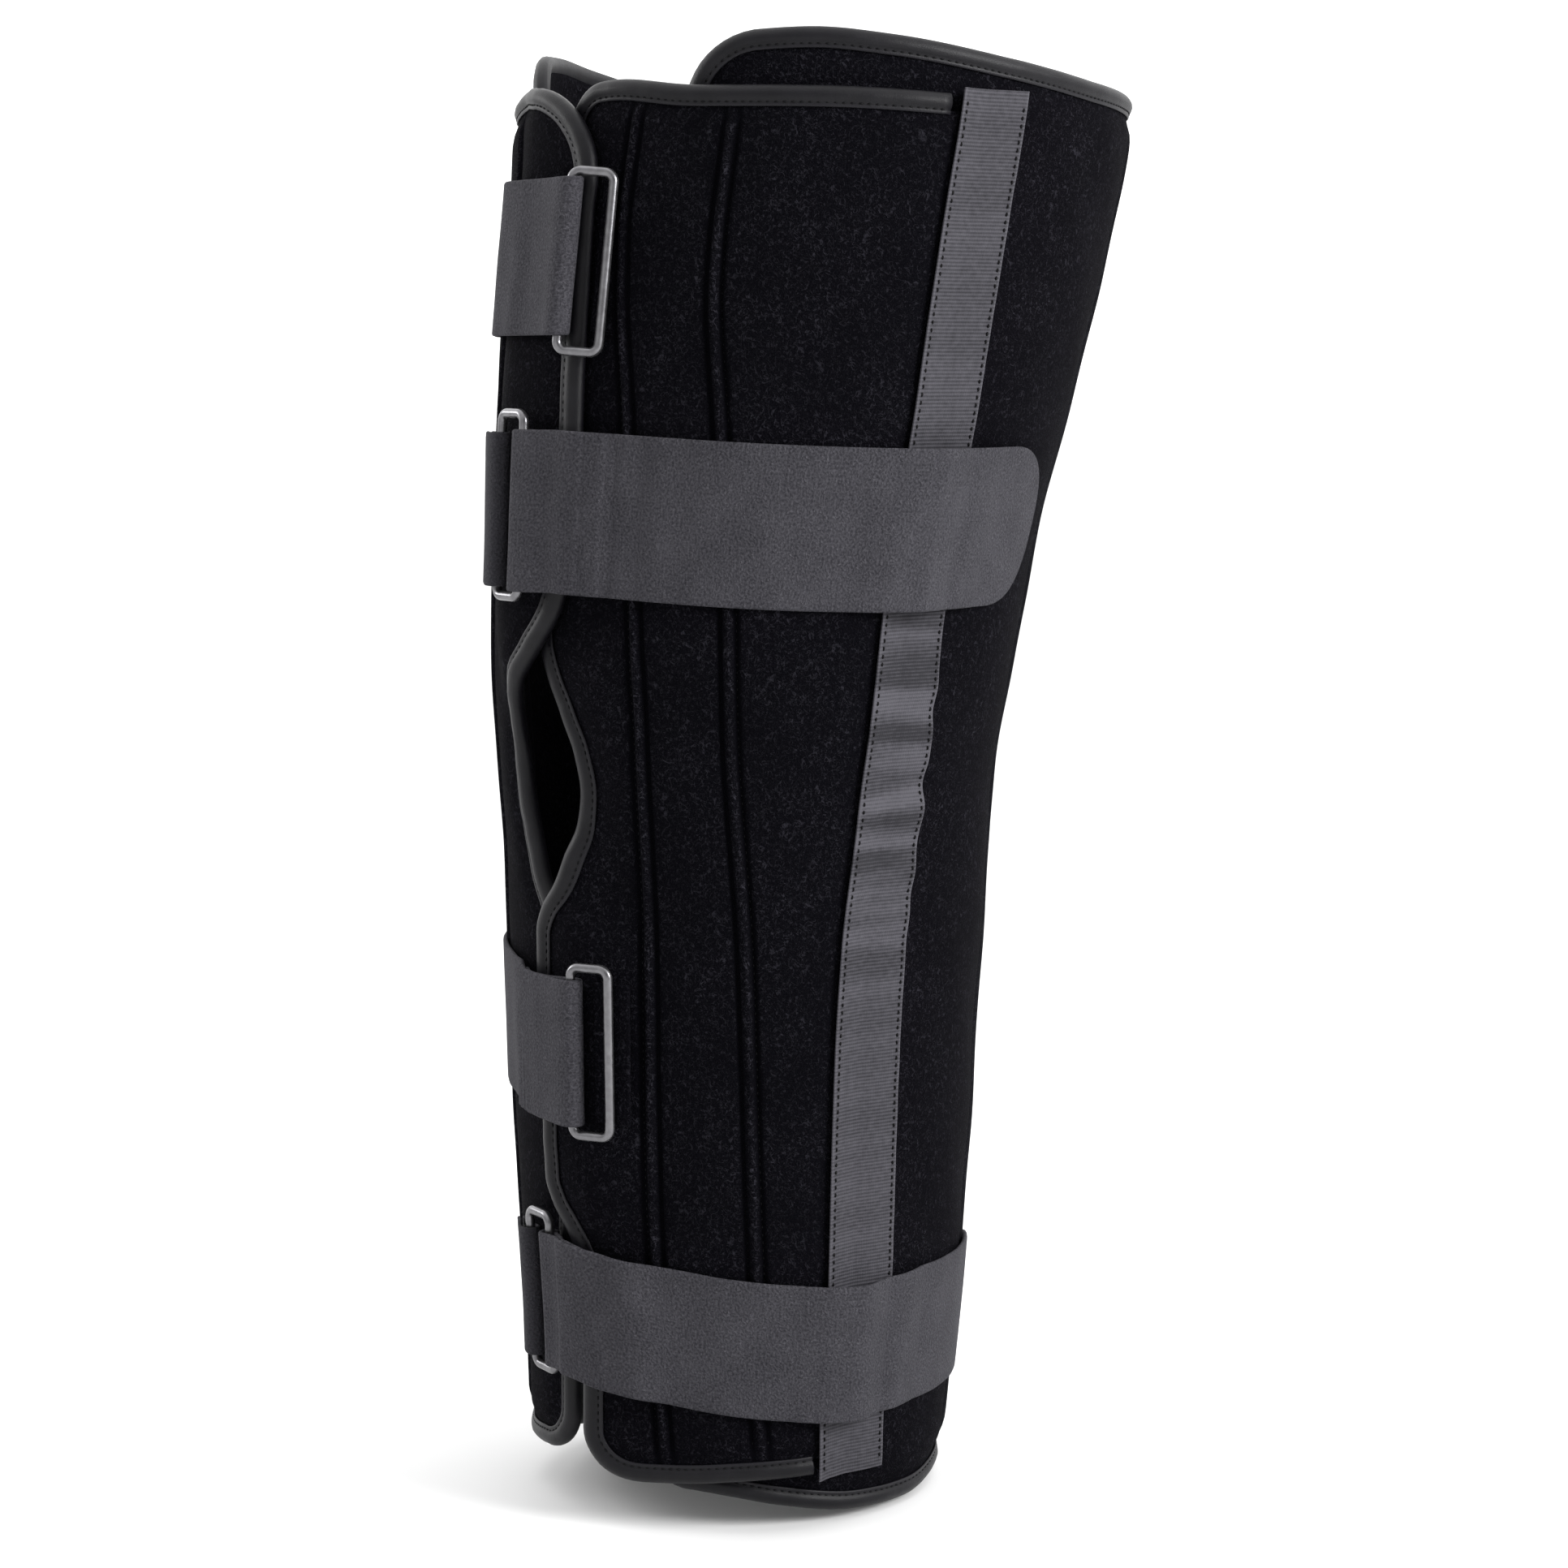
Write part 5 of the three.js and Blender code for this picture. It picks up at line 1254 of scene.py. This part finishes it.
    def ring(self) -> None:
        """The wire ring: a rounded rectangle of round wire."""
        held, rise = self.bar_at(self.bar, self.bar_lift)
        other = self.other_bar()
        across = self.bar_at(other, self.lift_over(other))[0] - held
        across -= rise * (across @ rise)
        across /= np.linalg.norm(across)
        reach = self.width / 2 + RING_PLAY + WIRE / 2
        deselect()
        bpy.ops.mesh.primitive_plane_add(size=1)
        ring = bpy.context.object
        ring.name = f"ring_{self.number}_look"
        ring.scale = ((RING_WIDTH - WIRE) * MM, 2 * reach * MM, 1)
        bpy.ops.object.transform_apply(location=False, rotation=False, scale=True)
        bpy.ops.object.mode_set(mode="EDIT")
        bpy.ops.mesh.select_all(action="SELECT")
        bpy.ops.mesh.bevel(affect="VERTICES", offset=(RING_CORNER - WIRE / 2) * MM, segments=10)
        bpy.ops.mesh.delete(type="ONLY_FACE")
        bpy.ops.object.mode_set(mode="OBJECT")
        bpy.ops.object.convert(target="CURVE")
        ring.data.bevel_depth = WIRE / 2 * MM
        ring.data.bevel_resolution = 6
        bpy.ops.object.convert(target="MESH")
        facing = np.cross(across, rise)
        middle = held + across * (RING_WIDTH - WIRE) / 2 * MM + rise * self.offset * MM
        turned = Matrix([(*row, 0) for row in np.stack([across, rise, facing], 1).tolist()] + [(0, 0, 0, 1)])
        ring.matrix_world = Matrix.Translation(Vector(middle)) @ turned
        bpy.ops.object.transform_apply()
        bpy.ops.object.shade_smooth()
        ring.data.materials.clear()
        ring.data.materials.append(RING_METAL.material())
        log.info("%s: %d faces", ring.name, len(ring.data.polygons))
        show(ring, f"ring_{self.number}")

    def tab(self) -> None:
        """The tab: folded round the other bar, or flat under the ring and out of the first seam."""
        other = self.other_bar()
        lift = self.lift_over(other)
        # The folded tab takes the felt darkened as painted shade; the flat tab takes the loop cloth
        piece = Piece(f"ring_tab_{self.number}_look", SHADED_TAB_FELT if self.way > 0 else LOOP_CLOTH)
        if self.way > 0:
            radius = WIRE / 2 + FOLD_PLAY + TAB_THICKNESS / 2

            def to_turn(at: np.ndarray) -> np.ndarray:
                return other - self.way * at / self.scale

            def lower(at: np.ndarray) -> np.ndarray:
                under = lift - radius - TAB_THICKNESS / 2
                return self.settle(under, to_turn(at), at) + TAB_THICKNESS / 2

            back = np.linspace(TAB_LENGTH, 0.4, TAB_STEPS)
            angle = np.radians(np.linspace(-90, -270, TAB_FOLD_STEPS))
            rest = lower(back[::-1]) + TAB_THICKNESS + LAYER_PLAY
            upper = mix(lift + radius, rest, ease(back[::-1] / FOLD_SLOPE))
            at = np.concatenate([back, radius * np.cos(angle), back[::-1]])
            level = np.concatenate([lower(back), lift + radius * np.sin(angle), upper])
            length = 2 * TAB_LENGTH + FOLD_LENGTH
        else:
            start = mix(self.bar, other, FLAT_TAB_START)
            finish = seam_one(self.rise) - TAB_SEAM_GAP / self.scale
            at = np.linspace(start, finish, FLAT_TAB_STEPS) * self.scale
            rest = lift - WIRE / 2 - FOLD_PLAY - TAB_THICKNESS / 2
            top = cloth_top(at / self.scale, np.full(len(at), self.height))
            level = np.maximum(top + STRAP_GAP, rest)

            def to_turn(at: np.ndarray) -> np.ndarray:
                return at / self.scale

            length = abs(float(finish) - start) * self.scale
        ones = np.ones(len(at))
        half = (self.width / 2 - TAB_MARGIN) * ones
        band = Band(at, level, half, self.height * ones, TAB_THICKNESS, to_turn)
        band.fill(piece, lambda run, across: TAB_WAVE * ripple(run, across * 20, TAB_SEED, *TAB_WAVES))
        show(piece.build(), f"ring_tab_{self.number}")


# Number, rise, droop, width, bar, end, way and offset of each fastening
FASTENINGS = (
    Fastening(1, 0.378, 0.0, 47.0, 11.0, -128.0, -1, -1.2),
    Fastening(2, 0.201, 0.013, 49.0, 4.0, 123.0, 1, 1.4),
    Fastening(3, -0.184, -0.01, 46.0, 16.0, -150.0, -1, 0.4),
    Fastening(4, -0.377, 0.031, 44.0, 2.5, 164.0, 1, 1.4),
)


def deselect() -> None:
    """Leaves nothing selected before an operator runs."""
    bpy.ops.object.select_all(action="DESELECT")


def show(made: bpy.types.Object, node: str) -> None:
    """Hands a piece to the frame.

    Args: made, the piece; node, the frame's node that it stands for.
    """
    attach(made, "root")
    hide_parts(node)


@dataclass(frozen=True)
class Lamp:
    """A soft studio lamp that looks at the object's middle."""

    name: str
    place: tuple[float, float, float]
    size: float
    power: float

    def build(self) -> None:
        """Adds the lamp to the stage."""
        data = bpy.data.lights.new(self.name, "AREA")
        data.shape = "DISK"
        data.size = self.size
        data.energy = self.power
        lamp = bpy.data.objects.new(self.name, data)
        lamp.location = self.place
        lamp.rotation_euler = (Vector((0, 0, 0)) - Vector(self.place)).to_track_quat("-Z", "Y").to_euler()
        bpy.context.scene.collection.objects.link(lamp)


@dataclass(frozen=True)
class Studio:
    """The camera, the floor, the lamps and the sky."""

    azimuth: float = 54.0
    pitch: float = 8.0
    distance: float = 1.15
    height: float = 0.13
    sideways: float = 0.0092
    lens: float = 81.99
    shift: float = 0.0533
    floor: float = -0.2335
    sky: float = 2.4
    sky_behind: float = 0.2
    horizon: float = 0.85
    sky_rise: tuple[float, float] = (-0.1, 1.0)
    horizon_rise: tuple[float, float] = (0.14, 0.24)
    lamps: tuple[Lamp, ...] = (
        Lamp("key", (1.6, 0.7, 0.8), 0.9, 52.0),
        Lamp("fill", (0.5, -1.7, 0.6), 1.4, 3.0),
        Lamp("rim", (-1.3, -0.9, 0.6), 0.6, 10.0),
    )

    def build(self) -> None:
        """Sets up the stage."""
        turn, pitch = math.radians(self.azimuth), math.radians(self.pitch)
        right = Vector((math.cos(turn), math.sin(turn), 0))
        forward = Vector((-math.sin(turn), math.cos(turn), 0))
        data = bpy.data.cameras.new("camera")
        data.lens = self.lens
        data.sensor_width = 36
        data.shift_y = self.shift
        data.clip_start = 0.05
        camera = bpy.data.objects.new("camera", data)
        camera.location = -forward * self.distance + right * self.sideways + Vector((0, 0, self.height))
        look = forward * math.cos(pitch) + Vector((0, 0, -math.sin(pitch)))
        camera.rotation_euler = look.to_track_quat("-Z", "Y").to_euler()
        bpy.context.scene.collection.objects.link(camera)
        bpy.context.scene.camera = camera
        for lamp in self.lamps:
            lamp.build()
        world = bpy.data.worlds.new("sky")
        world.use_nodes = True
        self.shade(world.node_tree, forward)
        bpy.context.scene.world = world
        bpy.context.scene.view_settings.view_transform = "Standard"
        deselect()
        bpy.ops.mesh.primitive_plane_add(size=30, location=(0, 0, self.floor))
        floor = bpy.context.object
        floor.name = "floor"
        floor.data.materials.append(FLOOR.material())

    def shade(self, tree: bpy.types.NodeTree, forward: Vector) -> None:
        """Lights the sky: bright overhead and behind the object, darker on the camera's side, with a pale
        band at the horizon.

        Args: tree of the world; forward, the way that the camera looks.
        """
        place = tree.nodes.new("ShaderNodeTexCoord")
        share = tree.nodes.new("ShaderNodeVectorMath")
        share.operation = "DOT_PRODUCT"
        share.inputs[1].default_value = Vector((forward.x / 2, forward.y / 2, 1.0))
        strength = tree.nodes.new("ShaderNodeMapRange")
        for socket, value in zip(list(strength.inputs)[1:5], (*self.sky_rise, self.sky_behind, self.sky)):
            socket.default_value = value
        background = tree.nodes["Background"]
        background.inputs[0].default_value = (1, 1, 1, 1)
        rise = tree.nodes.new("ShaderNodeSeparateXYZ")
        band = tree.nodes.new("ShaderNodeMapRange")
        ends = (*self.horizon_rise, self.horizon, self.sky_behind)
        for socket, value in zip(list(band.inputs)[1:5], ends):
            socket.default_value = value
        most = tree.nodes.new("ShaderNodeMath")
        most.operation = "MAXIMUM"
        tree.links.new(place.outputs["Generated"], rise.inputs[0])
        tree.links.new(rise.outputs[2], band.inputs[0])
        tree.links.new(place.outputs["Generated"], share.inputs[0])
        tree.links.new(share.outputs["Value"], strength.inputs[0])
        tree.links.new(strength.outputs[0], most.inputs[0])
        tree.links.new(band.outputs[0], most.inputs[1])
        tree.links.new(most.outputs[0], background.inputs[1])


def main() -> None:
    """Builds the stage and all the pieces."""
    logging.basicConfig(level=logging.INFO, format="%(message)s")
    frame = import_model()
    log.info("frame: %d nodes", len(frame["nodes"]))
    Studio().build()
    BackPanel().build()
    for side in Side:
        SidePanel(side).build()
    for fastening in FASTENINGS:
        fastening.build()


if __name__ == "__main__":
    main()
